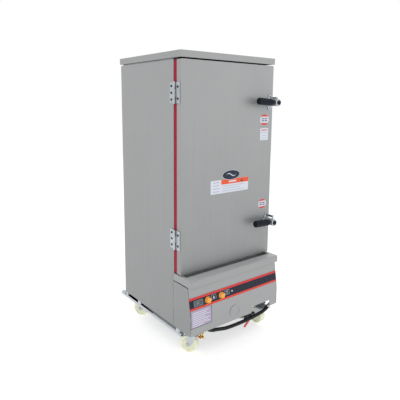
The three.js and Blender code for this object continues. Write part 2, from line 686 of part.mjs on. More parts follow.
// A round solid of revolution standing on the sloped front at (x, down the strip).
function slopeTurning(profile, x, down, sides) {
  const points = profile.map(([r, h]) => new THREE.Vector2(r, h));
  const geometry = new THREE.LatheGeometry(points, sides);
  const [y, z] = onSlope(STRIP_TOP_Z, down, 0);
  geometry.rotateX(Math.PI - SLOPE);
  geometry.translate(x, y, z);
  return asSolid(geometry);
}

const stripCentre = STRIP_HEIGHT / 2;
const stripFace = FIT + STRIP_T;
const knobStart = stripFace + FIT;

function controlStrip() {
  const strip = slopeSlab([-HALF + SHEET + FIT, HALF - SHEET - FIT], STRIP_TOP_Z, [0, STRIP_HEIGHT], FIT, stripFace);
  return strip;
}

function knob(x) {
  const profile = [
    [0, knobStart], [KNOB_R + 3, knobStart], [KNOB_R + 3, knobStart + 4], [KNOB_R, knobStart + 6],
    [KNOB_R - 1.5, knobStart + KNOB_H - 3], [KNOB_R - 4, knobStart + KNOB_H], [0, knobStart + KNOB_H],
  ];
  const body = slopeTurning(profile, x, stripCentre, 24);
  const fin = slopeSlab(
    [x - 3.5, x + 3.5],
    STRIP_TOP_Z,
    [stripCentre - KNOB_R + 1, stripCentre + KNOB_R - 1],
    knobStart + KNOB_H - 2,
    knobStart + KNOB_H + 5,
  );
  return join(body, fin);
}

function displayWindow() {
  const x = [DISPLAY_X - DISPLAY_W / 2, DISPLAY_X + DISPLAY_W / 2];
  const down = [stripCentre - DISPLAY_H / 2, stripCentre + DISPLAY_H / 2];
  return slopeSlab(x, STRIP_TOP_Z, down, knobStart, knobStart + DISPLAY_T);
}

piece('control_strip', controlStrip(), MATERIAL.strip);
piece('display_window', displayWindow(), MATERIAL.display);
piece('burner_knob', knob(KNOB_X[0]), MATERIAL.orange);
piece('timer_knob', knob(KNOB_X[1]), MATERIAL.orange);

// ---------------------------------------------------------------- base frame
function sideBar(side) {
  const x = mirrored(side, HALF - BAR_WIDTH, HALF);
  const outer = box(x, [BAR_FRONT_Y, BAR_REAR_Y], [BAR_TOP - BAR_HEIGHT, BAR_TOP]);
  const bore = box([x[0] + RAIL_WALL, x[1] - RAIL_WALL], [BAR_FRONT_Y - 1, BAR_REAR_Y + 1], [
    BAR_TOP - BAR_HEIGHT + RAIL_WALL,
    BAR_TOP - RAIL_WALL,
  ]);
  const lug = box(mirrored(side, HALF - BAR_WIDTH + 4, HALF - 2), BAR_LUG_Y, [BAR_TOP - 1, RAIL_TOP]);
  return join(cut(outer, bore), lug);
}

function casterPlate(x, y, inward) {
  const half = CASTER_PLATE_W / 2;
  const reach = RAIL_INSET + RAIL_DEPTH / 2 + half;
  const middle = y + inward * (reach / 2 - half);
  const plate = prism('z', roundedRect(CASTER_PLATE_W, reach, 6, x, middle), PLATE_BOTTOM, RAIL_BOTTOM + 0.1, 2);
  const holes = [];
  for (const dx of [-1, 1]) {
    for (const dy of [-1, 1]) {
      const centre = [x + dx * (half - 9), y + dy * (half - 9)];
      holes.push(cylinder('z', 3.2, PLATE_BOTTOM - 1, PLATE_BOTTOM + 2, centre, 8));
    }
  }
  return cut(plate, ...holes);
}

// A cross channel, open below between the caster plates that are welded to it.
function crossRail(casterY, inward) {
  const y = casterY + inward * RAIL_INSET;
  const [y0, y1] = [y - RAIL_DEPTH / 2, y + RAIL_DEPTH / 2];
  const outer = box([-HALF, HALF], [y0, y1], [RAIL_BOTTOM, RAIL_TOP]);
  const reach = CASTER_X - CASTER_PLATE_W / 2 - 4;
  const hollow = box([-reach, reach], [y0 + RAIL_WALL, y1 - RAIL_WALL], [RAIL_BOTTOM - 1, RAIL_TOP - RAIL_WALL]);
  return join(cut(outer, hollow), casterPlate(-CASTER_X, casterY, inward), casterPlate(CASTER_X, casterY, inward));
}

piece('side_bar_left', sideBar(-1), MATERIAL.zinc);
piece('side_bar_right', sideBar(1), MATERIAL.zinc);
piece('front_rail', crossRail(FRONT_CASTER_Y, 1), MATERIAL.zinc);
piece('rear_rail', crossRail(REAR_CASTER_Y, -1), MATERIAL.zinc);

// ---------------------------------------------------------------- casters
const raceTop = PLATE_BOTTOM - FIT;
const crownZ = raceTop - CASTER_RACE_H;

function casterFork() {
  const inner = WHEEL_WIDTH / 2 + FORK_GAP;
  const outer = inner + FORK_SHEET;
  const race = cylinder('z', CASTER_RACE_R, crownZ, raceTop, [0, 0], 20);
  const crown = box([-outer, outer], [-CASTER_RACE_R, CASTER_RACE_R], [crownZ - FORK_SHEET, crownZ + 0.5]);
  const cheek = outline([
    [-CASTER_RACE_R, crownZ], [-CASTER_TRAIL - 13, WHEEL_R - 8], [-CASTER_TRAIL, WHEEL_R - 15],
    [-CASTER_TRAIL + 14, WHEEL_R - 8], [CASTER_RACE_R - 2, crownZ - FORK_SHEET], [CASTER_RACE_R - 2, crownZ],
  ]);
  const cheeks = [prism('x', cheek, inner, outer), prism('x', cheek, -outer, -inner)];
  const axle = cylinder('x', AXLE_R, -outer - 6, outer + 6, [-CASTER_TRAIL, WHEEL_R], 12);
  const heads = [-1, 1].map((side) => {
    const [from, to] = mirrored(side, outer - 0.5, outer + 5);
    return cylinder('x', AXLE_R + 4, from, to, [-CASTER_TRAIL, WHEEL_R], 6);
  });
  return join(race, crown, ...cheeks, axle, ...heads);
}

function casterWheel() {
  const half = WHEEL_WIDTH / 2;
  const bore = AXLE_R + RUNNING_GAP * 3;
  const points = [
    [bore, -half + 1], [14, -half + 1], [16, -half + 6], [WHEEL_R - 14, -half + 6], [WHEEL_R - 11, -half],
    [WHEEL_R - 4, -half], [WHEEL_R, -half + 5],
    [WHEEL_R, half - 5], [WHEEL_R - 4, half],
    [WHEEL_R - 11, half], [WHEEL_R - 14, half - 6], [16, half - 6], [14, half - 1], [bore, half - 1], [bore, -half + 1],
  ];
  const geometry = new THREE.LatheGeometry(points.map(([r, h]) => new THREE.Vector2(r, h)), 28);
  geometry.rotateZ(-Math.PI / 2);
  geometry.translate(0, -CASTER_TRAIL, WHEEL_R);
  return asSolid(geometry);
}

function caster(corner, x, y) {
  const swivel = new THREE.Group();
  swivel.position.set(x, y, 0);
  swivel.rotation.z = THREE.MathUtils.degToRad(CASTER_SWIVEL_DEG[corner]);
  const parts = [['fork', casterFork(), MATERIAL.zinc], ['wheel', casterWheel(), MATERIAL.nylon]];
  for (const [kind, solid, material] of parts) {
    const mesh = new THREE.Mesh(asGeometry(solid), material);
    mesh.name = `${corner}_${kind}`;
    swivel.add(mesh);
  }
  cabinet.add(swivel);
}

caster('front_left', -CASTER_X, FRONT_CASTER_Y);
caster('front_right', CASTER_X, FRONT_CASTER_Y);
caster('rear_left', -CASTER_X, REAR_CASTER_Y);
caster('rear_right', CASTER_X, REAR_CASTER_Y);

// ---------------------------------------------------------------- door
const doorCentreZ = (DOOR_TOP + DOOR_BOTTOM) / 2;
const doorHeight = DOOR_TOP - DOOR_BOTTOM;

function doorOuter() {
  const outer = prism('y', roundedRect(CAB_WIDTH, doorHeight, DOOR_CORNER, 0, doorCentreZ), DOOR_FRONT, DOOR_BACK);
  const inner = box(
    [-HALF + SHEET, HALF - SHEET],
    [DOOR_FRONT + SHEET, DOOR_BACK + 1],
    [DOOR_BOTTOM + SHEET, DOOR_TOP - SHEET],
  );
  return cut(outer, inner);
}

function doorInner() {
  const edge = SHEET + FIT;
  const y = [DOOR_BACK - SHEET, DOOR_BACK];
  return box([-HALF + edge, HALF - edge], y, [DOOR_BOTTOM + edge, DOOR_TOP - edge]);
}

function doorFoam() {
  const edge = SHEET + FIT;
  const y = [DOOR_FRONT + edge, DOOR_BACK - edge];
  return box([-HALF + edge, HALF - edge], y, [DOOR_BOTTOM + edge, DOOR_TOP - edge]);
}

function doorSeal() {
  const inset = 1.5;
  const y = [DOOR_BACK + FIT, SEAL_BACK];
  const width = CAB_WIDTH - 2 * inset;
  const outer = prism('y', roundedRect(width, doorHeight - 2 * inset, DOOR_CORNER, 0, doorCentreZ), ...y);
  const hole = prism(
    'y',
    roundedRect(width - 2 * SEAL_WIDTH, doorHeight - 2 * inset - 2 * SEAL_WIDTH, DOOR_CORNER, 0, doorCentreZ),
    y[0] - 1,
    y[1] + 1,
  );
  return cut(outer, hole);
}

piece('door_outer', doorOuter(), MATERIAL.stainless);
piece('door_inner', doorInner(), MATERIAL.liner);
piece('door_foam', doorFoam(), MATERIAL.foam);
piece('door_seal', doorSeal(), MATERIAL.seal);

// ---------------------------------------------------------------- hinges
const knuckleThird = HINGE_LENGTH / 3;
const leafX = [-HALF - FIT - HINGE_LEAF, -HALF - FIT];

function knuckle(z0, z1, boreR) {
  const sleeve = cylinder('z', HINGE_KNUCKLE_R, z0, z1, [PIN_X, PIN_Y], 20);
  const bore = cylinder('z', boreR, z0 - 1, z1 + 1, [PIN_X, PIN_Y], 20);
  return cut(sleeve, bore);
}

function hingeBodyLeaf(z) {
  const low = z - HINGE_LENGTH / 2;
  const leafStart = PIN_Y + HINGE_KNUCKLE_R + FIT;
  const plate = box(leafX, [leafStart, leafStart + HINGE_BODY_LEAF], [low, low + HINGE_LENGTH]);
  const pin = cylinder('z', HINGE_PIN_R, low - 2, low + HINGE_LENGTH + 2, [PIN_X, PIN_Y], 20);
  const ends = [0, 2].map((third) => {
    const z0 = low + third * knuckleThird;
    const z1 = z0 + knuckleThird;
    const wrap = box([leafX[0], leafX[1]], [PIN_Y, leafStart + 1], [z0, z1]);
    return join(cylinder('z', HINGE_KNUCKLE_R, z0, z1, [PIN_X, PIN_Y], 20), wrap);
  });
  const bodySide = box([leafX[1], 0], [-CAB_DEPTH, CAB_DEPTH], [low - 5, low + HINGE_LENGTH + 5]);
  return cut(join(plate, pin, ...ends), bodySide);
}

function hingeDoorLeaf(z) {
  const low = z - HINGE_LENGTH / 2;
  const [z0, z1] = [low + knuckleThird + FIT, low + 2 * knuckleThird - FIT];
  const leafEnd = PIN_Y - HINGE_KNUCKLE_R - FIT;
  const plate = box(leafX, [leafEnd - HINGE_DOOR_LEAF, leafEnd], [low, low + HINGE_LENGTH]);
  const wrap = box(leafX, [leafEnd - 1, PIN_Y], [z0, z1]);
  const sleeve = join(cylinder('z', HINGE_KNUCKLE_R, z0, z1, [PIN_X, PIN_Y], 20), wrap);
  const bore = cylinder('z', HINGE_PIN_R + RUNNING_GAP, z0 - 1, z1 + 1, [PIN_X, PIN_Y], 20);
  const doorSide = box([leafX[1], 0], [-CAB_DEPTH, CAB_DEPTH], [low - 5, low + HINGE_LENGTH + 5]);
  return cut(join(plate, sleeve), bore, doorSide);
}

const hingeHeights = { upper: DOOR_TOP - HINGE_INSET, lower: DOOR_BOTTOM + HINGE_INSET + 25 };
for (const [level, z] of Object.entries(hingeHeights)) {
  piece(`hinge_${level}_body_leaf`, hingeBodyLeaf(z), MATERIAL.zinc);
  piece(`hinge_${level}_door_leaf`, hingeDoorLeaf(z), MATERIAL.zinc);
}

// ---------------------------------------------------------------- latches
const latchX = HALF - LATCH_INSET_X;
const plateFront = DOOR_FRONT - FIT - LATCH_PLATE_T;
const collarFront = plateFront - LATCH_COLLAR_L;
const barrelBack = collarFront - FIT;
const barrelFront = barrelBack - BARREL_L;

function latchBase(z) {
  const rhomb = outline([
    [latchX - LATCH_PLATE_W / 2, z - 8], [latchX - 8, z - LATCH_PLATE_H / 2], [latchX + 8, z - LATCH_PLATE_H / 2],
    [latchX + LATCH_PLATE_W / 2, z - 8], [latchX + LATCH_PLATE_W / 2, z + 8], [latchX + 8, z + LATCH_PLATE_H / 2],
    [latchX - 8, z + LATCH_PLATE_H / 2], [latchX - LATCH_PLATE_W / 2, z + 8],
  ]);
  const plate = prism('y', rhomb, plateFront, DOOR_FRONT - FIT);
  const collar = cylinder('y', LATCH_COLLAR_R, collarFront, plateFront + 1, [latchX, z], 24);
  return join(plate, collar);
}

function latchHandle(z) {
  const barrel = cylinder('y', BARREL_R, barrelFront, barrelBack, [latchX, z], 24);
  const cap = cylinder('y', CAP_R, barrelFront - CAP_L, barrelFront + 1, [latchX, z], 20);
  const gripY = (barrelFront + barrelBack) / 2 - 4;
  const grip = cylinder('x', GRIP_R, latchX - GRIP_REACH, latchX - BARREL_R + 6, [gripY, z], 16);
  const tilted = turned(grip, [0, 1, 0], GRIP_RISE_DEG, [latchX, gripY, z]);
  const tongue = box(
    [latchX, latchX + TONGUE_REACH],
    [barrelBack - 1 - TONGUE_T, barrelBack - 1],
    [z - TONGUE_W / 2, z + TONGUE_W / 2],
  );
  return join(barrel, cap, tilted, tongue);
}

function latchKeeper(z) {
  const x0 = HALF + FIT + 0.7;
  const armLow = z + TONGUE_W / 2 + KEEPER_CLEARANCE;
  const armZ = [armLow, armLow + KEEPER_ARM_H];
  const armFront = barrelBack - TONGUE_T - 3;
  const leafBack = -FRAME_PROUD + KEEPER_LEAF_W;
  const middle = (armZ[0] + armZ[1]) / 2;
  const leafZ = [middle - KEEPER_LEAF_H / 2, middle + KEEPER_LEAF_H / 2];
  const leaf = box([HALF + FIT, HALF + FIT + KEEPER_T], [-FRAME_PROUD + 2, leafBack], leafZ);
  const arm = box([x0, x0 + KEEPER_T + 1], [armFront, leafBack - 10], armZ);
  const lip = box([x0, x0 + KEEPER_LIP], [armFront - KEEPER_T - 1, armFront + 1], [armLow - KEEPER_HOOK, armZ[1]]);
  return join(leaf, arm, lip);
}

const latchHeights = { upper: DOOR_TOP - LATCH_UPPER_DROP, lower: DOOR_BOTTOM + LATCH_LOWER_RISE };
for (const [level, z] of Object.entries(latchHeights)) {
  piece(`latch_${level}_base`, latchBase(z), MATERIAL.chrome);
  piece(`latch_${level}_handle`, latchHandle(z), MATERIAL.black);
  piece(`latch_${level}_keeper`, latchKeeper(z), MATERIAL.chrome);
}

// ---------------------------------------------------------------- pipes, valves and hose
function pipe(points, radius, steps, sides = 5) {
  const route = new THREE.CatmullRomCurve3(points.map((p) => new THREE.Vector3(...p)), false, 'centripetal');
  const section = new THREE.Shape();
  section.absarc(0, 0, radius, 0, 2 * Math.PI);
  return asSolid(new THREE.ExtrudeGeometry(section, { steps, extrudePath: route, curveSegments: sides }));
}

function drainValve() {
  const axis = [VALVE_Y, VALVE_Z];
  const [left, right] = [VALVE_X - VALVE_LEFT, VALVE_X + VALVE_RIGHT];
  const body = cylinder('x', VALVE_R, left, right, axis, 16);
  const nuts = [
    cylinder('x', VALVE_R + 1, left, left + VALVE_NUT, axis, 6),
    cylinder('x', VALVE_R + 1, right - VALVE_NUT, right, axis, 6),
  ];
  const bonnet = cylinder('y', 8, VALVE_Y - VALVE_R - 4, VALVE_Y, [VALVE_X, VALVE_Z], 12);
  const nipple = cylinder('x', PIPE_R, right - 2, right + NIPPLE_LENGTH, axis, 12);
  return join(body, ...nuts, bonnet, nipple);
}

function drainValveLever() {
  const back = VALVE_Y - VALVE_R - 4 - FIT;
  const hub = cylinder('y', 9, back - LEVER_T - 2, back, [VALVE_X, VALVE_Z], 12);
  const arm = box(
    [VALVE_X - LEVER_WIDTH / 2, VALVE_X + LEVER_WIDTH / 2],
    [back - LEVER_T, back - 0.5],
    [VALVE_Z - LEVER_LENGTH, VALVE_Z],
  );
  return turned(join(hub, arm), [0, 1, 0], LEVER_REST_DEG, [VALVE_X, back, VALVE_Z]);
}

function drainPipe() {
  const x = VALVE_X - VALVE_LEFT - FIT;
  const rise = FRONT_CASTER_Y + RAIL_INSET + RAIL_DEPTH / 2 + PIPE_R + 2;
  const top = TANK_BOTTOM - FIT;
  return pipe([
    [x, VALVE_Y, VALVE_Z], [x - 12, VALVE_Y, VALVE_Z], [x - 24, VALVE_Y + 10, VALVE_Z],
    [x - 26, VALVE_Y + 30, VALVE_Z], [x - 26, rise - 14, VALVE_Z], [x - 26, rise - 2, VALVE_Z + 12],
    [x - 26, rise, VALVE_Z + 30], [x - 26, rise, BURNER_Z], [x - 26, rise + 6, top - 44],
    [x - 26, rise + 30, top - 34], [x - 26, rise + 54, top - 28], [x - 26, rise + 60, top - 15],
    [x - 26, rise + 60, top],
  ], PIPE_R, 34, 3);
}

function waterTap() {
  const top = TAP_BOTTOM + TAP_HEIGHT;
  const body = cylinder('z', TAP_R, TAP_BOTTOM, top, [TAP_X, TAP_Y], 16);
  const nut = cylinder('z', TAP_R + 3, top - 14, top - 2, [TAP_X, TAP_Y], 6);
  const spout = cylinder('y', TAP_R - 2, TAP_Y - 19, TAP_Y, [TAP_X, TAP_BOTTOM + TAP_R], 12);
  const boss = cylinder('x', TAP_R - 3, TAP_X - TAP_R - 4, TAP_X, [TAP_Y, TAP_BOTTOM + TAP_R], 12);
  return join(body, nut, spout, boss);
}

function waterTapHandle() {
  const x = TAP_X - TAP_R - 4 - FIT;
  const axis = [TAP_Y, TAP_BOTTOM + TAP_R];
  const hub = cylinder('x', TAP_R - 3, x - 6, x, axis, 12);
  const bar = box([x - 5, x - 1], [TAP_Y - TAP_HANDLE / 2, TAP_Y + TAP_HANDLE / 2], [axis[1] - 4, axis[1] + 4]);
  return join(hub, bar);
}

// Copper fill pipe brazed into the tap.
function fillPipe() {
  const start = TAP_BOTTOM + TAP_HEIGHT - 2;
  const top = TANK_BOTTOM - FIT;
  return pipe([
    [TAP_X, TAP_Y, start], [TAP_X, TAP_Y, start + 20], [TAP_X, TAP_Y + 4, start + 60],
    [TAP_X, TAP_Y + 24, top - 56], [TAP_X, TAP_Y + 60, top - 40], [TAP_X, -20, top - 34],
    [TAP_X, 14, top - 28], [TAP_X, 22, top - 14], [TAP_X, 22, top],
  ], PIPE_R - 2, 26, 3);
}

function gasInlet() {
  const [x, y, z] = hosePoints[0];
  return pipe([
    [x + 0.3, y, z + 0.3], [x + 9, y, z + 9], [x + 18, y, z + 22], [x + 21, y, z + 40], [x + 21, y, z + 76],
  ], PIPE_R, 12, 3);
}

function gasFeedPipe() {
  const [x, y, z] = hosePoints[hosePoints.length - 1];
  const manifoldFront = tankFront - FIT;
  return pipe([
    [x, y, z + 2 * FIT], [x, y, z + 16], [x, y + 4, BURNER_Z - 12], [x, y + 16, BURNER_Z - 2],
    [x, y + 34, BURNER_Z], [x, manifoldFront - 20, BURNER_Z], [x, manifoldFront, BURNER_Z],
  ], PIPE_R, 22, 3);
}

piece('drain_valve', drainValve(), MATERIAL.castSteel);
piece('drain_valve_lever', drainValveLever(), MATERIAL.red);
piece('drain_pipe', drainPipe(), MATERIAL.zinc);
piece('water_tap', join(waterTap(), fillPipe()), MATERIAL.brass);
piece('water_tap_handle', waterTapHandle(), MATERIAL.brass);
piece('gas_inlet', gasInlet(), MATERIAL.zinc);
piece('gas_feed_pipe', gasFeedPipe(), MATERIAL.zinc);
piece('gas_hose', pipe(hosePoints, HOSE_R, 26), MATERIAL.rubber);

// ---------------------------------------------------------------- origin at the footprint's centre
cabinet.updateMatrixWorld(true);
const bounds = new THREE.Box3().setFromObject(cabinet);
const centre = bounds.getCenter(new THREE.Vector3());
cabinet.position.set(-centre.x, -centre.y, -bounds.min.z);

export default cabinet;
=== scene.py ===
"""Steam proofing cabinet: finishes, fittings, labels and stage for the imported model."""

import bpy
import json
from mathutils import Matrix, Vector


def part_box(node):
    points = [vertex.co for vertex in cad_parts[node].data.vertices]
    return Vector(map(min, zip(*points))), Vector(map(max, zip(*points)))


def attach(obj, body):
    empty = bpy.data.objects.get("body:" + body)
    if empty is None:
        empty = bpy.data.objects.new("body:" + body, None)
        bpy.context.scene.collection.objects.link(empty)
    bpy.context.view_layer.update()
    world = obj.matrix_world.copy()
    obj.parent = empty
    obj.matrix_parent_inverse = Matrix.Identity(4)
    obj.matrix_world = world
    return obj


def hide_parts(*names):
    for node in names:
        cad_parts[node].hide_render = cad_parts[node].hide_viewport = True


bl_info = {
    "name": "Steam proofing cabinet",
    "version": (1, 0, 0),
    "blender": (4, 5, 0),
    "location": "View3D > Sidebar > Cabinet",
    "description": "Finishes, fittings and stage of a gas-fired steam proofing cabinet",
    "category": "Object",
}

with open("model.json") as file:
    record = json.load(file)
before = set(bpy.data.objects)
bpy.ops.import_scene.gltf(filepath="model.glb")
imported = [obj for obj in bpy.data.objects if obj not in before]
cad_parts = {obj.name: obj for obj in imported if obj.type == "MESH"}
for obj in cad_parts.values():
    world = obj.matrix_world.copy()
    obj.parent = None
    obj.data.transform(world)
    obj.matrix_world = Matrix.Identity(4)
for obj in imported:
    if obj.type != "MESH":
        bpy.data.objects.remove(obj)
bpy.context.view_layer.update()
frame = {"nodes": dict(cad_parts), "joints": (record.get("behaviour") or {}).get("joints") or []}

import json
import math

import bmesh
import bpy
from bpy.props import FloatProperty, FloatVectorProperty, IntProperty, PointerProperty
from mathutils import Matrix, Vector
from mathutils.geometry import interpolate_bezier

MM = 0.001
CAB_DEPTH = 0.580
DOOR_LOW, DOOR_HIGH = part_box("door_outer")
BACK_LOW, BACK_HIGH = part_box("back_panel")
STRIP_LOW, STRIP_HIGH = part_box("control_strip")
SILL_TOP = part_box("sill")[1].z
SEAM_Y = BACK_HIGH.y - CAB_DEPTH
JOINTS = {joint["name"]: joint for joint in frame["joints"]}
CORNERS = ("front_left", "front_right", "rear_left", "rear_right")
RIGHT, UP, BACKWARD = Vector((1, 0, 0)), Vector((0, 0, 1)), Vector((0, 1, 0))

CAMERA_PLACE = (-1.6669, SEAM_Y - 1.93655, 1.4336)
CAMERA_FORWARD = (0.60647, 0.77876, -0.16040)
CAMERA_ROLL = 0.44
BACK_GAP = 0.0003
PLATE_OUT = 0.0033
LEVER_REST_ANGLE = 50
STRIP_SKIN = 0.0023
BODY_HALF_WIDTH = 0.350
FIREBOX_FACE = 0.169
PORT_CENTRE = (-0.021, 0.205)
PORT_RIM = 0.0351
WHEEL_RADIUS, WHEEL_HALF_WIDTH = 0.0520, 0.023


# ---------------------------------------------------------------- flat faces to work on
class Face:
    """A flat face of the cabinet: across runs to its right, up runs up it, out stands off it."""

    def __init__(self, origin, across, up):
        self.origin, self.across, self.up = Vector(origin), Vector(across), Vector(up)
        self.out = self.across.cross(self.up)

    def at(self, x, y, out=0.0):
        return self.origin + self.across * x + self.up * y + self.out * out

    def moved(self, x, y, out=0.0):
        return Face(self.at(x, y, out), self.across, self.up)

    def turned(self, degrees):
        turn = Matrix.Rotation(math.radians(degrees), 3, self.out)
        return Face(self.origin, turn @ self.across, turn @ self.up)


def rectangle(width, height, radius=0.0, steps=4):
    if radius <= 0:
        half_width, half_height = width / 2, height / 2
        return [(sx * half_width, sy * half_height) for sx, sy in ((-1, -1), (1, -1), (1, 1), (-1, 1))]
    points = []
    for quarter, (sx, sy) in enumerate(((1, 1), (-1, 1), (-1, -1), (1, -1))):
        cx, cy = sx * (width / 2 - radius), sy * (height / 2 - radius)
        for step in range(steps + 1):
            angle = (quarter + step / steps) * math.pi / 2
            points.append((cx + radius * math.cos(angle), cy + radius * math.sin(angle)))
    return points


def oval(width, height, steps=40):
    turns = [2 * math.pi * step / steps for step in range(steps)]
    return [(width / 2 * math.cos(turn), height / 2 * math.sin(turn)) for turn in turns]


def sector(radius, from_degrees, to_degrees, steps=16):
    """The part of a disc cut off by the chord between two angles."""
    span = to_degrees - from_degrees
    turns = [math.radians(from_degrees + span * step / steps) for step in range(steps + 1)]
    return [(radius * math.cos(turn), radius * math.sin(turn)) for turn in turns]


def arc_band(inner, start_width, end_width, from_degrees, to_degrees, steps=14):
    """A band that widens along an arc: the painted knob reflection and the painted shadow round the port cover.
    """
    near, far = [], []
    for step in range(steps + 1):
        share = step / steps
        turn = math.radians(from_degrees + (to_degrees - from_degrees) * share)
        outer = inner + start_width + (end_width - start_width) * share
        near.append((inner * math.cos(turn), inner * math.sin(turn)))
        far.append((outer * math.cos(turn), outer * math.sin(turn)))
    points = far + near[::-1]
    return points if to_degrees > from_degrees else points[::-1]


def shifted(points, x, y):
    return [(px + x, py + y) for px, py in points]


# ---------------------------------------------------------------- building pieces
class Piece:
    """Closed solids gathered into one named piece, each with its own finish."""

    def __init__(self):
        self.mesh = bmesh.new()
        self.finishes = []

    def _paint(self, faces, finish):
        if finish not in self.finishes:
            self.finishes.append(finish)
        for face in faces:
            face.material_index = self.finishes.index(finish)

    def rings(self, loops, finish, closed=False, caps=True):
        """Joins loops of equal length into one skin."""
        rows = [[self.mesh.verts.new(point) for point in loop] for loop in loops]
        faces = []
        count = len(rows[0])
        pairs = list(zip(rows, rows[1:])) + ([(rows[-1], rows[0])] if closed else [])
        for lower, upper in pairs:
            for i in range(count):
                j = (i + 1) % count
                faces.append(self.mesh.faces.new((lower[i], lower[j], upper[j], upper[i])))
        if caps and not closed:
            faces.append(self.mesh.faces.new(rows[0][::-1]))
            faces.append(self.mesh.faces.new(rows[-1]))
        self._paint(faces, finish)

    def plate(self, face, points, low, high, finish, edge=0.0):
        """A flat solid with that outline, from low to high off the face, its top edge eased."""
        loops = [[face.at(x, y, low) for x, y in points]]
        if edge > 0:
            cx = sum(x for x, _ in points) / len(points)
            cy = sum(y for _, y in points) / len(points)
            reach = max(math.hypot(x - cx, y - cy) for x, y in points)
            shrink = 1 - edge / reach
            inner = [(cx + (x - cx) * shrink, cy + (y - cy) * shrink) for x, y in points]
            loops.append([face.at(x, y, high - edge) for x, y in points])
            loops.append([face.at(x, y, high) for x, y in inner])
        else:
            loops.append([face.at(x, y, high) for x, y in points])
        self.rings(loops, finish)

    def lathe(self, face, profile, finish, segments=32, ring=False):
        """Turns a profile of (radius, height) about the line that stands off the face."""
        loops = []
        for radius, height in profile:
            turns = [2 * math.pi * i / segments for i in range(segments)]
            loops.append([face.at(radius * math.cos(t), radius * math.sin(t), height) for t in turns])
        self.rings(loops, finish, closed=ring)

    def screw(self, face, radius, height, finish, slot_shade):
        """A pan head with a slot across it; the slot floor is a near-black plate, painted shade."""
        self.lathe(face, [(radius, 0), (radius, height * 0.45), (radius * 0.9, height * 0.62)], finish, 20)
        self.plate(face, rectangle(radius * 1.5, radius * 0.34), height * 0.62, height * 0.66, slot_shade)
        for turn in (0, 180):
            half = [(x, y + radius * 0.17) for x, y in sector(radius * 0.83, 0, 180, 8)]
            self.plate(face.turned(turn), half, height * 0.6, height, finish, edge=radius * 0.12)

    def hexagon(self, face, radius, low, high, finish):
        corners = [math.radians(degrees) for degrees in range(0, 360, 60)]
        points = [(radius * math.cos(corner), radius * math.sin(corner)) for corner in corners]
        self.plate(face, points, low, high, finish, edge=radius * 0.08)

    def named(self, name, body, slot, soften=0.0, smooth=38.0):
        """Ends the piece: it gets its name, rides on its body and takes its finishes."""
        bmesh.ops.recalc_face_normals(self.mesh, faces=self.mesh.faces)
        data = bpy.data.meshes.new(name)
        self.mesh.to_mesh(data)
        self.mesh.free()
        for finish in self.finishes:
            data.materials.append(FINISHES[finish])
        data.shade_smooth()
        data.set_sharp_from_angle(angle=math.radians(smooth))
        piece = bpy.data.objects.new(name, data)
        bpy.context.scene.collection.objects.link(piece)
        if soften > 0:
            ease_edges(piece, soften)
        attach(piece, body)
        return piece


def ease_edges(piece, width, segments=2):
    bevel = piece.modifiers.new("eased edges", "BEVEL")
    bevel.width, bevel.segments = width, segments
    bevel.limit_method, bevel.angle_limit = "ANGLE", math.radians(40)
    bevel.harden_normals = False


def shading_by_angle():
    """A modifier that welds split corners and shades smooth up to an angle."""
    group = bpy.data.node_groups.new("weld and shade", "GeometryNodeTree")
    group.interface.new_socket("Geometry", in_out="INPUT", socket_type="NodeSocketGeometry")
    group.interface.new_socket("Geometry", in_out="OUTPUT", socket_type="NodeSocketGeometry")
    nodes, links = group.nodes, group.links
    entry, leave = nodes.new("NodeGroupInput"), nodes.new("NodeGroupOutput")
    weld = nodes.new("GeometryNodeMergeByDistance")
    weld.inputs["Distance"].default_value = 0.00002
    angle = nodes.new("GeometryNodeInputMeshEdgeAngle")
    flat = nodes.new("FunctionNodeCompare")
    flat.operation = "LESS_THAN"
    flat.inputs[1].default_value = math.radians(32)
    edges, faces = nodes.new("GeometryNodeSetShadeSmooth"), nodes.new("GeometryNodeSetShadeSmooth")
    edges.domain, faces.domain = "EDGE", "FACE"
    links.new(entry.outputs[0], weld.inputs["Geometry"])
    links.new(angle.outputs["Unsigned Angle"], flat.inputs[0])
    links.new(weld.outputs["Geometry"], edges.inputs["Geometry"])
    links.new(flat.outputs[0], edges.inputs["Shade Smooth"])
    links.new(edges.outputs["Geometry"], faces.inputs["Geometry"])
    links.new(faces.outputs["Geometry"], leave.inputs[0])
    return group


# ---------------------------------------------------------------- finishes
FINISHES = {}


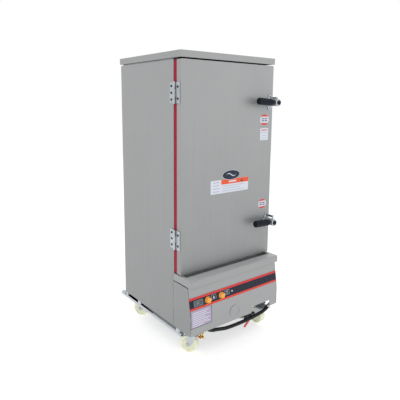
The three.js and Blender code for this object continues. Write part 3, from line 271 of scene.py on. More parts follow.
class Finish:
    """One surface finish, built from nodes on the object's own coordinates, in metres."""

    def __init__(self, name, colour, roughness, metallic=0.0, **sockets):
        self.material = bpy.data.materials.new(name)
        self.material.use_nodes = True
        self.nodes, self.links = self.material.node_tree.nodes, self.material.node_tree.links
        self.shader = self.nodes["Principled BSDF"]
        self.base = tuple(colour)
        self.shader.inputs["Base Color"].default_value = (*colour, 1)
        self.shader.inputs["Roughness"].default_value = roughness
        self.shader.inputs["Metallic"].default_value = metallic
        for socket, value in sockets.items():
            self.shader.inputs[socket.replace("_", " ")].default_value = value
        self.place = self.nodes.new("ShaderNodeTexCoord").outputs["Object"]
        FINISHES[name] = self.material

    def stretched(self, scale, stretch):
        mapping = self.nodes.new("ShaderNodeMapping")
        mapping.inputs["Scale"].default_value = [scale * part for part in stretch]
        self.links.new(self.place, mapping.inputs["Vector"])
        return mapping.outputs["Vector"]

    def noise(self, scale, detail=2.0, stretch=(1, 1, 1)):
        noise = self.nodes.new("ShaderNodeTexNoise")
        noise.inputs["Scale"].default_value = 1.0
        noise.inputs["Detail"].default_value = detail
        self.links.new(self.stretched(scale, stretch), noise.inputs["Vector"])
        return noise.outputs["Fac"]

    def cells(self, scale, stretch=(1, 1, 1)):
        cells = self.nodes.new("ShaderNodeTexVoronoi")
        cells.inputs["Scale"].default_value = 1.0
        self.links.new(self.stretched(scale, stretch), cells.inputs["Vector"])
        return cells.outputs["Distance"]

    def height(self):
        split = self.nodes.new("ShaderNodeSeparateXYZ")
        self.links.new(self.place, split.inputs["Vector"])
        return split.outputs["Z"]

    def between(self, value, low, high, from_low=0.3, from_high=0.7):
        spread = self.nodes.new("ShaderNodeMapRange")
        limits = {"From Min": from_low, "From Max": from_high, "To Min": low, "To Max": high}
        for socket, number in limits.items():
            spread.inputs[socket].default_value = number
        self.links.new(value, spread.inputs["Value"])
        return spread.outputs["Result"]

    def sum(self, first, second, weight=1.0):
        node = self.nodes.new("ShaderNodeMath")
        node.operation = "MULTIPLY_ADD"
        self.links.new(second, node.inputs[0])
        node.inputs[1].default_value = weight
        self.links.new(first, node.inputs[2])
        return node.outputs[0]

    def ramp(self, value, stops, stepped=False):
        ramp = self.nodes.new("ShaderNodeValToRGB")
        ramp.color_ramp.interpolation = "CONSTANT" if stepped else "LINEAR"
        elements = ramp.color_ramp.elements
        while len(elements) < len(stops):
            elements.new(0.5)
        for element, (place, colour) in zip(elements, stops):
            element.position = place
            element.color = (*colour, 1)
        self.links.new(value, ramp.inputs["Fac"])
        return ramp.outputs["Color"]

    def mottle(self, value, amount, low=0.3, high=0.7):
        """Base colour a little darker and lighter than the plain one, following a pattern."""
        dark = tuple(part * (1 - amount) for part in self.base)
        light = tuple(min(1.0, part * (1 + amount)) for part in self.base)
        self.colour(self.ramp(value, [(low, dark), (high, light)]))
        return self

    def colour(self, socket):
        self.links.new(socket, self.shader.inputs["Base Color"])
        return self

    def gloss(self, socket):
        self.links.new(socket, self.shader.inputs["Roughness"])
        return self

    def relief(self, value, depth, strength=1.0):
        bump = self.nodes.new("ShaderNodeBump")
        bump.inputs["Strength"].default_value = strength
        bump.inputs["Distance"].default_value = depth
        self.links.new(value, bump.inputs["Height"])
        self.links.new(bump.outputs["Normal"], self.shader.inputs["Normal"])
        return self


def brushed(name, colour, roughness, metallic, grain, streak=0.06, wave=0.0003, height_shade_range=0.16):
    """Satin sheet: fine grain along one direction, handling marks, a slight wave, and painted shade: the colour
    darkens towards the bottom and lightens towards the top between 0.2 m and 1.6 m high.
    """
    finish = Finish(name, colour, roughness, metallic)
    fine = finish.noise(420, 3, grain)
    broad = finish.noise(38, 3, grain)
    marks = finish.noise(4.5, 4)
    # painted shade: a height gradient, darker low down and lighter high up, mixed into the colour with the
    # handling marks
    height_shade = finish.between(finish.height(), -height_shade_range, height_shade_range, 0.2, 1.6)
    worn = finish.sum(finish.between(broad, 0.46, 0.54), finish.between(marks, -0.08, 0.08))
    finish.mottle(finish.sum(worn, height_shade), streak)
    grained = finish.between(fine, roughness - 0.05, roughness + 0.05)
    finish.gloss(finish.sum(grained, finish.between(marks, -0.04, 0.04)))
    finish.relief(finish.sum(finish.noise(2.2, 1), fine, 0.06), wave)
    return finish


def printed(name, colour, roughness=0.32, grain=600):
    """Ink or film: a faint print grain and small differences in gloss."""
    finish = Finish(name, colour, roughness, 0.0, Specular_IOR_Level=0.3)
    finish.mottle(finish.noise(grain, 2), 0.06)
    finish.gloss(finish.between(finish.noise(90, 3), roughness - 0.06, roughness + 0.08))
    return finish.relief(finish.noise(grain, 2), 0.00003)


def moulded(name, colour, roughness, texture, depth, amount=0.06, **sockets):
    """Moulded plastic or rubber: fine texture, worn spots."""
    finish = Finish(name, colour, roughness, 0.0, **sockets)
    finish.mottle(finish.noise(45, 4), amount)
    finish.gloss(finish.between(finish.noise(70, 4), roughness - 0.08, roughness + 0.1))
    return finish.relief(finish.noise(texture, 3), depth)


def plated(name, colour, roughness, cloud=0.08, texture=260, depth=0.00006, metallic=1.0):
    """Plated or plain metal: soft cloudy colour and small scratches."""
    finish = Finish(name, colour, roughness, metallic)
    finish.mottle(finish.sum(finish.noise(30, 4), finish.noise(9, 2), 0.4), cloud, 0.45, 0.95)
    finish.gloss(finish.between(finish.noise(120, 4, (1, 1, 6)), roughness - 0.06, roughness + 0.1))
    return finish.relief(finish.noise(texture, 3), depth)


# ---------------------------------------------------------------- settings
def colour_setting(name, description, default):
    return FloatVectorProperty(
        name=name, description=description, subtype="COLOR", default=default, min=0, max=1,
    )


def length_setting(name, description, default):
    return FloatProperty(
        name=name, description=description, default=default, min=0, unit="LENGTH", precision=4,
    )


def number_setting(name, description, default, **limits):
    return FloatProperty(name=name, description=description, default=default, **limits)


class CabinetFinishes(bpy.types.PropertyGroup):
    steel: colour_setting("Body steel", "Satin steel of the cabinet, door and firebox", (0.325, 0.331, 0.334))
    steel_roughness: number_setting("Steel roughness", "Roughness of the body steel", 0.48, min=0, max=1)
    liner: colour_setting("Liner steel", "Brighter steel inside the chamber", (0.53, 0.53, 0.52))
    zinc: colour_setting("Zinc plate", "Bright zinc on the base frame, forks and hinges", (0.52, 0.55, 0.58))
    chrome: colour_setting("Chrome", "Plating of the latches", (0.42, 0.45, 0.48))
    nylon: colour_setting("Wheel nylon", "Cream nylon of the wheels", (0.78, 0.80, 0.62))
    grip: colour_setting("Grip plastic", "Black plastic of the latch grips", (0.006, 0.009, 0.015))
    hose: colour_setting("Hose rubber", "Black rubber of the gas hose", (0.008, 0.009, 0.011))
    gasket: colour_setting("Gasket", "Crimson silicone round the door", (0.33, 0.006, 0.03))
    knob: colour_setting("Knobs", "Orange plastic of the two knobs", (0.95, 0.42, 0.05))
    lever: colour_setting("Drain lever", "Dipped red cover of the drain lever", (0.6, 0.045, 0.05))
    brass: colour_setting("Brass", "Machined brass of the water tap", (0.62, 0.42, 0.12))
    copper: colour_setting("Copper", "Copper of the fill pipe and the tap handle", (0.5, 0.2, 0.1))
    iron: colour_setting("Cast iron", "Burner and drain valve", (0.06, 0.065, 0.07))
    strip: colour_setting("Control strip", "Dark field of the control strip", (0.010, 0.013, 0.028))
    border: colour_setting("Strip border", "Red border of the control strip", (0.62, 0.035, 0.035))
    foam: colour_setting("Foam", "Insulating foam", (0.78, 0.68, 0.4))


class CabinetLabels(bpy.types.PropertyGroup):
    white: colour_setting("Label white", "Ground of the labels", (0.60, 0.63, 0.70))
    red: colour_setting("Label red", "Red of the round labels", (0.62, 0.05, 0.06))
    orange: colour_setting("Banner", "Orange-red banner of the wide label", (0.72, 0.09, 0.03))
    ink: colour_setting("Ink", "Dark printing", (0.03, 0.035, 0.05))
    grey_ink: colour_setting("Grey bars", "Bars that stand for lines of print", (0.42, 0.47, 0.55))
    lilac: colour_setting("Firebox label", "Lilac ground of the firebox label", (0.38, 0.325, 0.45))
    badge: colour_setting("Badge", "Dark oval badge", (0.010, 0.018, 0.040))
    film: length_setting("Film thickness", "Thickness of a label", 0.0004)
    badge_width: length_setting("Badge width", "Width of the oval badge", 0.139)
    badge_height: length_setting("Badge height", "Height of the oval badge", 0.060)
    round_size: length_setting("Round label", "Width of the upper round label", 0.077)


class CabinetFittings(bpy.types.PropertyGroup):
    screw_radius: length_setting("Screw head", "Radius of a sheet screw's head", 0.0052)
    hinge_screw_radius: length_setting("Hinge screw head", "Radius of a hinge screw's head", 0.0068)
    screw_height: length_setting("Screw height", "How far a screw head stands up", 0.0026)
    grip_ribs: IntProperty(name="Grip ribs", description="Ribs along a latch grip", default=15, min=0, max=40)
    knob_flutes: IntProperty(name="Knob flutes", description="Flutes round a knob", default=20, min=8, max=60)
    clamp_width: length_setting("Hose clamp", "Width of the hose clamp's band", 0.012)
    edge: length_setting("Sheet edge", "Rounding of the folded sheet edges", 0.0011)


class CabinetStage(bpy.types.PropertyGroup):
    lens: number_setting("Lens", "Focal length of the camera", 38.51, min=5, unit="CAMERA")
    rise: number_setting("Lens rise", "Vertical shift of the camera lens", -0.068)
    floor: colour_setting("Floor", "Plain pale floor", (0.6, 0.6, 0.6))
    floor_glow: number_setting("Floor glow", "Even light given off by the studio floor", 0.55, min=0)
    sky: number_setting("Surrounding light", "Strength of the even light all round", 1.0, min=0)
    key: number_setting("Key light", "Power of the large soft light", 14.0, min=0, unit="POWER")


# ---------------------------------------------------------------- stage
class CABINET_OT_stage(bpy.types.Operator):
    """Set up the camera, the pale floor and the soft studio light"""

    bl_idname = "cabinet.stage"
    bl_label = "Stage and camera"

    def execute(self, context):
        stage = context.scene.cabinet_stage
        camera = bpy.data.objects.new("camera", bpy.data.cameras.new("camera"))
        context.scene.collection.objects.link(camera)
        forward = Vector(CAMERA_FORWARD).normalized()
        side = forward.cross(UP).normalized()
        roll = math.radians(CAMERA_ROLL)
        across = side * math.cos(roll) + side.cross(forward) * math.sin(roll)
        upward = across.cross(forward)
        turn = Matrix((across, upward, -forward)).transposed()
        camera.matrix_world = Matrix.Translation(CAMERA_PLACE) @ turn.to_4x4()
        camera.data.lens, camera.data.sensor_width = stage.lens, 36.0
        camera.data.shift_y = stage.rise
        camera.data.clip_start, camera.data.clip_end = 0.05, 60
        context.scene.camera = camera
        context.scene.view_settings.view_transform = "Standard"

        world = bpy.data.worlds.new("studio")
        world.use_nodes = True
        light = world.node_tree.nodes["Background"]
        light.inputs["Color"].default_value = (1, 1, 1, 1)
        light.inputs["Strength"].default_value = stage.sky
        context.scene.world = world

        floor = Piece()
        floor.plate(Face((0, 0, 0), (1, 0, 0), (0, 1, 0)), rectangle(16, 16), -0.02, 0.0, "floor")
        data = bpy.data.meshes.new("floor")
        floor.mesh.to_mesh(data)
        floor.mesh.free()
        paint = Finish("floor", stage.floor, 0.9, 0.0, Specular_IOR_Level=0.0)
        paint.shader.inputs["Emission Color"].default_value = (1, 1, 1, 1)
        paint.shader.inputs["Emission Strength"].default_value = stage.floor_glow
        paint.mottle(paint.noise(3, 3), 0.01)
        paint.relief(paint.noise(60, 2), 0.0002)
        data.materials.append(paint.material)
        ground = bpy.data.objects.new("floor", data)
        context.scene.collection.objects.link(ground)

        aim = Vector((0, 0, 0.9))
        for name, place, size, power in (
            ("key", (-2.2, -3.4, 3.2), 2.6, stage.key),
            ("fill", (3.2, -2.6, 2.2), 2.4, stage.key * 0.45),
            ("top", (0.3, 0.6, 4.2), 3.0, stage.key * 0.6),
        ):
            lamp = bpy.data.lights.new(name, "AREA")
            lamp.size, lamp.energy = size, power
            shown = bpy.data.objects.new(name, lamp)
            towards = (aim - Vector(place)).to_track_quat("-Z", "Y")
            shown.matrix_world = Matrix.Translation(place) @ towards.to_matrix().to_4x4()
            context.scene.collection.objects.link(shown)
        return {"FINISHED"}


# ---------------------------------------------------------------- gas hose
HOSE_RADIUS = 0.011
HOSE_POINTS = [
    (299, -153, 144), (288, -153, 134), (272, -153, 124), (250, -153, 116), (222, -153, 110),
    (190, -153, 106), (150, -153, 102), (105, -153, 99.5), (60, -153, 98.5), (15, -153, 98.5),
    (-30, -153, 99.5), (-75, -153, 103), (-110, -153, 110), (-145, -153, 118), (-178, -153, 125),
    (-203, -153, 136), (-219, -153, 154), (-225, -153, 173), (-226, -153, 189), (-226, -153, 203),
]


class CABINET_OT_gas_hose(bpy.types.Operator):
    """Make the black gas hose that hangs under the firebox, with its clamps"""

    bl_idname = "cabinet.gas_hose"
    bl_label = "Gas hose"

    def execute(self, context):
        fittings = context.scene.cabinet_fittings
        route = [Vector((x * MM, y * MM + SEAM_Y, z * MM)) for x, y, z in HOSE_POINTS]
        line = bpy.data.curves.new("gas_hose_line", "CURVE")
        line.dimensions = "3D"
        line.bevel_depth, line.bevel_resolution, line.resolution_u = HOSE_RADIUS, 7, 8
        line.use_fill_caps = True
        spline = line.splines.new("BEZIER")
        spline.bezier_points.add(len(route) - 1)
        ends = [route[0]] + route + [route[-1]]
        for i, knot in enumerate(spline.bezier_points):
            pull = (ends[i + 2] - ends[i]) / 6
            knot.handle_left_type = knot.handle_right_type = "FREE"
            knot.co, knot.handle_left, knot.handle_right = route[i], route[i] - pull, route[i] + pull
        for a, b in zip(spline.bezier_points, spline.bezier_points[1:]):
            steps = interpolate_bezier(a.co, a.handle_right, b.handle_left, b.co, 12)
        line.materials.append(FINISHES["hose rubber"])
        hose = bpy.data.objects.new("hose", line)
        context.scene.collection.objects.link(hose)
        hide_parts("gas_hose")
        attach(hose, "cabinet")

        clamps = Piece()
        for first, second in ((0, 1), (18, 17)):
            along = (route[second] - route[first]).normalized()
            centre = route[first] + along * 0.012
            across = along.cross(BACKWARD).normalized()
            ring = Face(centre, across, along.cross(across))
            inner, outer, half = HOSE_RADIUS + 0.0001, HOSE_RADIUS + 0.0011, fittings.clamp_width / 2
            band = [(inner, -half), (outer, -half), (outer, half), (inner, half)]
            clamps.lathe(ring, band, "zinc", 36, ring=True)
            saddle = Face(centre + across * (outer + 0.002), along, across.cross(along))
            block = rectangle(fittings.clamp_width * 0.9, 0.009, 0.002)
            clamps.plate(saddle, block, -0.007, 0.007, "zinc", 0.0006)
            bolt = Face(saddle.at(0, 0, 0.007), saddle.across, saddle.up)
            clamps.hexagon(bolt, 0.0042, 0, 0.004, "zinc")
        bands = clamps.named("hose_clamps", "cabinet", "zinc_steel")
        return {"FINISHED"}


# ---------------------------------------------------------------- finishes on the modelled parts
class CABINET_OT_finishes(bpy.types.Operator):
    """Mix every surface finish of the cabinet"""

    bl_idname = "cabinet.finishes"
    bl_label = "Mix finishes"

    def execute(self, context):
        tone, labels = context.scene.cabinet_finishes, context.scene.cabinet_labels
        rough = tone.steel_roughness
        brushed("steel upright", tone.steel, rough, 0.7, (1, 1, 0.012), 0.085, height_shade_range=0.3)
        # painted light: the level and sloped sheets take the body steel 1.14 times lighter and the lid 1.05 times
        # lighter, as lit copies of the upright steel
        brushed("steel level", [part * 1.14 for part in tone.steel], rough, 0.7, (0.012, 1, 1))
        brushed("steel lid", [part * 1.05 for part in tone.steel], rough, 0.7, (0.012, 1, 1), 0.03)
        sill = brushed("steel sill", [part * 0.98 for part in tone.steel], 0.45, 0.35, (0.012, 1, 1), 0.03)
        # painted highlight: the sill's top face and the top edge of its sides take the steel 1.45 times lighter
        rim = [part * 1.45 for part in tone.steel]
        level = sill.between(sill.height(), 0, 1, SILL_TOP - 0.0009, SILL_TOP - 0.0004)
        sill.colour(sill.ramp(level, [(0, sill.base), (1, rim)]))
        brushed("liner steel", tone.liner, 0.3, 1.0, (1, 1, 0.012), 0.04, 0.0004)
        brushed("tray steel", tone.liner, 0.24, 1.0, (0.02, 1, 1), 0.05, 0.0003)
        plated("zinc", tone.zinc, 0.3)
        plated("hinge zinc", [part * 0.88 for part in tone.zinc], 0.26, 0.12)
        plated("bar zinc", [part * 0.95 for part in tone.zinc], 0.34, 0.06, metallic=0.25)
        plated("dark screw", [part * 0.13 for part in tone.zinc], 0.42, 0.12)
        plated("chrome", tone.chrome, 0.16, 0.1, 180, 0.00002)
        plated("brass", tone.brass, 0.26, 0.12)
        plated("copper", tone.copper, 0.3, 0.15)
        moulded("grip plastic", tone.grip, 0.4, 1400, 0.00006, 0.2, Specular_IOR_Level=0.16)
        moulded("wheel nylon", tone.nylon, 0.42, 500, 0.00008, 0.07, Subsurface_Weight=0.15)
        moulded("knob plastic", tone.knob, 0.3, 900, 0.00004, 0.06, Coat_Weight=0.4)
        moulded("hose rubber", tone.hose, 0.3, 420, 0.00012, 0.25, Specular_IOR_Level=0.22)
        moulded("gasket", tone.gasket, 0.5, 500, 0.0001, 0.12, Specular_IOR_Level=0.2)
        # painted shade: the gasket's inner lip takes the crimson at 0.3 times
        moulded("gasket lip shade", [part * 0.3 for part in tone.gasket], 0.6, 500, 0.0001, 0.15)
        moulded("lever vinyl", tone.lever, 0.34, 300, 0.00015, 0.1, Coat_Weight=0.3)
        # painted shade: near-black for the floors of the screw slots
        moulded("slot_shade", (0.01, 0.01, 0.011), 0.7, 800, 0.0001, 0.2)

        iron = Finish("cast iron", tone.iron, 0.62, 0.55)
        iron.mottle(iron.noise(60, 5), 0.35)
        iron.gloss(iron.between(iron.noise(150, 4), 0.5, 0.75))
        iron.relief(iron.noise(700, 4), 0.0004)

        foam = Finish("foam", tone.foam, 0.95)
        foam.mottle(foam.cells(260), 0.2, 0.1, 0.6)
        foam.relief(foam.cells(260), 0.0008)

        film = Finish("strip film", tone.strip, 0.34, 0.0, Specular_IOR_Level=0.25)
        level = film.between(film.height(), 0, 1, STRIP_LOW.z, STRIP_HIGH.z)
        edge = 12.0 / 69.0
        warm = (tone.border[0], tone.border[1] * 1.5, tone.border[2])
        film.colour(film.ramp(level, [(0, warm), (edge, tone.strip), (1 - edge, tone.border)], stepped=True))
        film.gloss(film.between(film.noise(60, 3), 0.22, 0.36))
        film.relief(film.noise(500, 2), 0.00004)

        window = Finish("display glass", (0.012, 0.02, 0.024), 0.08, 0.0, Coat_Weight=1.0, Coat_Roughness=0.04)
        window.mottle(window.noise(40, 3), 0.3)
        window.gloss(window.between(window.noise(80, 3), 0.05, 0.14))

        printed("print white", labels.white)
        printed("print red", labels.red)
        printed("print orange", labels.orange)
        printed("print ink", labels.ink, 0.4)
        printed("print slate", (0.13, 0.17, 0.19), 0.4)
        # painted shadow: grey for the crescents round the port cover
        printed("painted shadow grey", (0.16, 0.165, 0.17), 0.6)
        printed("print grey", labels.grey_ink, 0.4)
        printed("print lilac", labels.lilac, 0.36)
        printed("badge enamel", labels.badge, 0.2)
        printed("print pale", (0.5, 0.56, 0.6), 0.35)
        # painted reflection: amber for the knobs' reflection in the strip
        printed("painted knob reflection", (0.9, 0.3, 0.03), 0.35)
        glow = printed("display digits", (0.25, 0.5, 0.45), 0.4)
        glow.shader.inputs["Emission Color"].default_value = (0.3, 0.75, 0.65, 1)
        glow.shader.inputs["Emission Strength"].default_value = 0.15
        return {"FINISHED"}


BASE_TUBES = ("side_bar_left", "side_bar_right", "front_rail", "rear_rail")
HINGE_LEAVES = tuple(f"hinge_{level}_{leaf}_leaf" for level in ("upper", "lower") for leaf in ("body", "door"))
LATCH_PLATES = tuple(f"latch_{level}_{plate}" for level in ("upper", "lower") for plate in ("base", "keeper"))
FORKS = tuple(f"{corner}_fork" for corner in CORNERS)
NODE_FINISHES = {
    "steel upright": (
        "left_panel", "right_panel", "back_panel", "door_outer", "front_frame", "firebox_left", "firebox_right",
    ),
    "steel level": ("firebox_front", "base_pan", "top_panel"),
    "steel sill": ("sill",),
    "steel lid": ("top_lid",),
    "liner steel": (
        "chamber_liner", "rack_left", "rack_right", "water_tank", "steam_plate", "door_inner", "flue_box",
    ),
    "tray steel": ("tray_1", "tray_2", "tray_3"),
    "zinc": ("drain_pipe", "gas_inlet", "gas_feed_pipe") + FORKS,
    "bar zinc": BASE_TUBES,
    "hinge zinc": HINGE_LEAVES,
    "chrome": LATCH_PLATES,
    "cast iron": ("burner", "drain_valve"),
    "brass": ("water_tap",),
    "copper": ("water_tap_handle",),
    "foam": ("insulation", "door_foam"),
    "strip film": ("control_strip",),
    "display glass": ("display_window",),
    "grip plastic": ("latch_upper_handle", "latch_lower_handle"),
    "knob plastic": ("burner_knob", "timer_knob"),
    "wheel nylon": tuple(f"{corner}_wheel" for corner in CORNERS),
    "lever vinyl": ("drain_valve_lever",),
    "hose rubber": ("gas_hose",),
    "gasket": ("door_seal",),
}
FOLDED_SHEET = ("top_lid", "door_outer", "sill") + BASE_TUBES
FINE_EDGE = ("display_window",) + LATCH_PLATES + HINGE_LEAVES + FORKS


class CABINET_OT_sheet_metal(bpy.types.Operator):
    """Give each modelled part its finish and ease the folded edges"""

    bl_idname = "cabinet.sheet_metal"
    bl_label = "Sheet metal and parts"

    def execute(self, context):
        edge = context.scene.cabinet_fittings.edge
        shade = shading_by_angle()
        for finish, names in NODE_FINISHES.items():
            for name in names:
                part = frame["nodes"][name]
                if not part.material_slots:
                    part.data.materials.append(FINISHES[finish])
                for slot in part.material_slots:
                    slot.material = FINISHES[finish]
                weld = part.modifiers.new("weld and shade", "NODES")
                weld.node_group = shade
                if name in FOLDED_SHEET:
                    ease_edges(part, edge * 0.55 if name == "top_lid" else edge)
                elif name in FINE_EDGE:
                    ease_edges(part, edge * 0.4)
        return {"FINISHED"}


# ---------------------------------------------------------------- back of the cabinet
class CABINET_OT_back_fastenings(bpy.types.Operator):
    """Put the screws, vent hoods and rating plate on the back panel"""

    bl_idname = "cabinet.back_fastenings"
    bl_label = "Back panel fittings"

    def execute(self, context):
        fittings = context.scene.cabinet_fittings
        back = Face((0, BACK_HIGH.y, 0), (-1, 0, 0), (0, 0, 1))
        low, high = BACK_LOW.z + 0.018, BACK_HIGH.z - 0.018
        edge = BACK_HIGH.x - 0.014
        places = [(side * edge, low + (high - low) * i / 6) for side in (-1, 1) for i in range(7)]
        places += [(x, z) for x in (-0.17, 0, 0.17) for z in (low, high)]
        screws = Piece()
        for i, (x, z) in enumerate(places):
            spot = back.moved(x, z).turned(37 * i)
            screws.screw(spot, fittings.screw_radius, fittings.screw_height, "zinc", "slot_shade")
        screws.named("back_panel_screws", "cabinet", "zinc_steel")

        hoods = Piece()
        for i in range(5):
            z = 0.2567 + i * 0.022
            profile = [(0.0, 0.0165), (0.003, 0.0163), (0.0062, 0.0148), (0.008, 0.0115), (0.0088, 0.0075)]
            inner = [(out - 0.0012 if out else 0.0, rise - 0.0012) for out, rise in profile]
            loop = profile + inner[::-1]
            sections = []
            for x, grow in ((-0.106, 0.25), (-0.1, 0.8), (-0.09, 1.0), (0.09, 1.0), (0.1, 0.8), (0.106, 0.25)):
                lift = 0.6 + 0.4 * grow
                sections.append([back.at(x, z + rise * lift, out * grow + 0.0001) for out, rise in loop])
            hoods.rings(sections, "steel level")
        hoods.named("vent_hoods", "cabinet", "stainless")

        plate = Piece()
        spot = back.moved(0.2, 1.42)
        plate.plate(spot, rectangle(0.12, 0.08, 0.004), 0.0001, 0.0009, "zinc", 0.0002)
        plate.plate(spot, rectangle(0.11, 0.07, 0.002), 0.0009, 0.00105, "print white")
        for row in range(6):
            width = (0.09, 0.06, 0.08, 0.07, 0.085, 0.05)[row]
            line = shifted(rectangle(width, 0.0026), -0.05 + width / 2, 0.026 - row * 0.0105)
            plate.plate(spot, line, 0.00105, 0.00115, "print grey")
        for x in (-0.054, 0.054):
            for y in (-0.034, 0.034):
                rivet = [(0.0024, 0), (0.0022, 0.0007), (0.0012, 0.0013), (0.0001, 0.0015)]
                plate.lathe(spot.moved(x, y, 0.0009), rivet, "zinc", 12)
        plate.named("rating_plate", "cabinet", "zinc_steel")
        return {"FINISHED"}


# ---------------------------------------------------------------- hinges
class CABINET_OT_hinge_screws(bpy.types.Operator):
    """Put the screws and pin caps in the two hinges"""

    bl_idname = "cabinet.hinge_screws"
    bl_label = "Hinge screws"

    def execute(self, context):
        fittings = context.scene.cabinet_fittings
        face_x = DOOR_LOW.x - PLATE_OUT
        for level in ("upper", "lower"):
            low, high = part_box(f"hinge_{level}_body_leaf")
            middle = (low.z + high.z) / 2
            body_y = high.y - 0.016
            door_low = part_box(f"hinge_{level}_door_leaf")[0]
            side = Face((face_x, 0, 0), (0, -1, 0), (0, 0, 1))
            fixed, moving = Piece(), Piece()
            for i, z in enumerate((-0.036, 0.0, 0.036)):
                head = side.moved(-body_y, middle + z).turned(50 * i + 15)
                fixed.screw(head, fittings.hinge_screw_radius, fittings.screw_height, "dark screw", "slot_shade")
            for i, z in enumerate((-0.0315, 0.0315)):
                head = side.moved(-(door_low.y + 0.018), middle + z).turned(70 * i + 25)
                moving.screw(head, fittings.hinge_screw_radius, fittings.screw_height, "dark screw", "slot_shade")
            pin = JOINTS["door_hinge"]["pos_m"]
            for end, rise in ((high.z, 1), (low.z, -1)):
                top = Face((pin[0], pin[1], end), (1, 0, 0), (0, rise, 0))
                cap = [(0.0062, -0.0019), (0.0062, 0.0004), (0.005, 0.0016), (0.0002, 0.0024)]
                fixed.lathe(top, cap, "zinc", 20)
            fixed.named(f"hinge_{level}_body_screws", "cabinet", "zinc_steel")
            moving.named(f"hinge_{level}_door_screws", "door", "zinc_steel")
        return {"FINISHED"}


# ---------------------------------------------------------------- door gasket
class CABINET_OT_gasket(bpy.types.Operator):
    """Make the crimson gasket round the door with its grooves and its inner lip, the lip painted darker as shade
    """

    bl_idname = "cabinet.gasket"
    bl_label = "Door gasket"

    def execute(self, context):
        low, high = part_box("door_seal")
        width, height = high.x - low.x, high.z - low.z
        face = Face(((low.x + high.x) / 2, low.y, (low.z + high.z) / 2), (1, 0, 0), (0, 0, 1))
        depth = high.y - low.y
        outer = [(0.0, 0.0), (0.0, 0.26), (0.0016, 0.3), (0.0016, 0.34), (0.0, 0.38), (0.0, 0.6),
                 (0.0016, 0.64), (0.0016, 0.68), (0.0, 0.72), (0.0, 0.93), (0.0012, 1.0)]
        inner = [(0.015, 1.0), (0.016, 0.9), (0.015, 0.12), (0.0145, 0.0)]
        loops = []
        for inset, share in outer + inner:
            points = rectangle(width - 2 * inset, height - 2 * inset, 0.0055 if inset < 0.005 else 0.003, 5)
            loops.append([face.at(x, y, -share * depth) for x, y in points])
        gasket = Piece()
        gasket.rings(loops, "gasket", closed=True)
        gasket = gasket.named("gasket", "door", "red_silicone")
        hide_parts("door_seal")
        lip = Piece()
        loops = []
        section = [(0.0162, 0.1), (0.0162, 0.95), (0.021, 0.99), (0.0238, 0.9), (0.022, 0.8), (0.019, 0.1)]
        for inset, share in section:
            points = rectangle(width - 2 * inset, height - 2 * inset, 0.003, 5)
            loops.append([face.at(x, y, -share * depth) for x, y in points])
        lip.rings(loops, "gasket lip shade", closed=True)
        lip.named("gasket_lip", "door", "red_silicone")
        return {"FINISHED"}


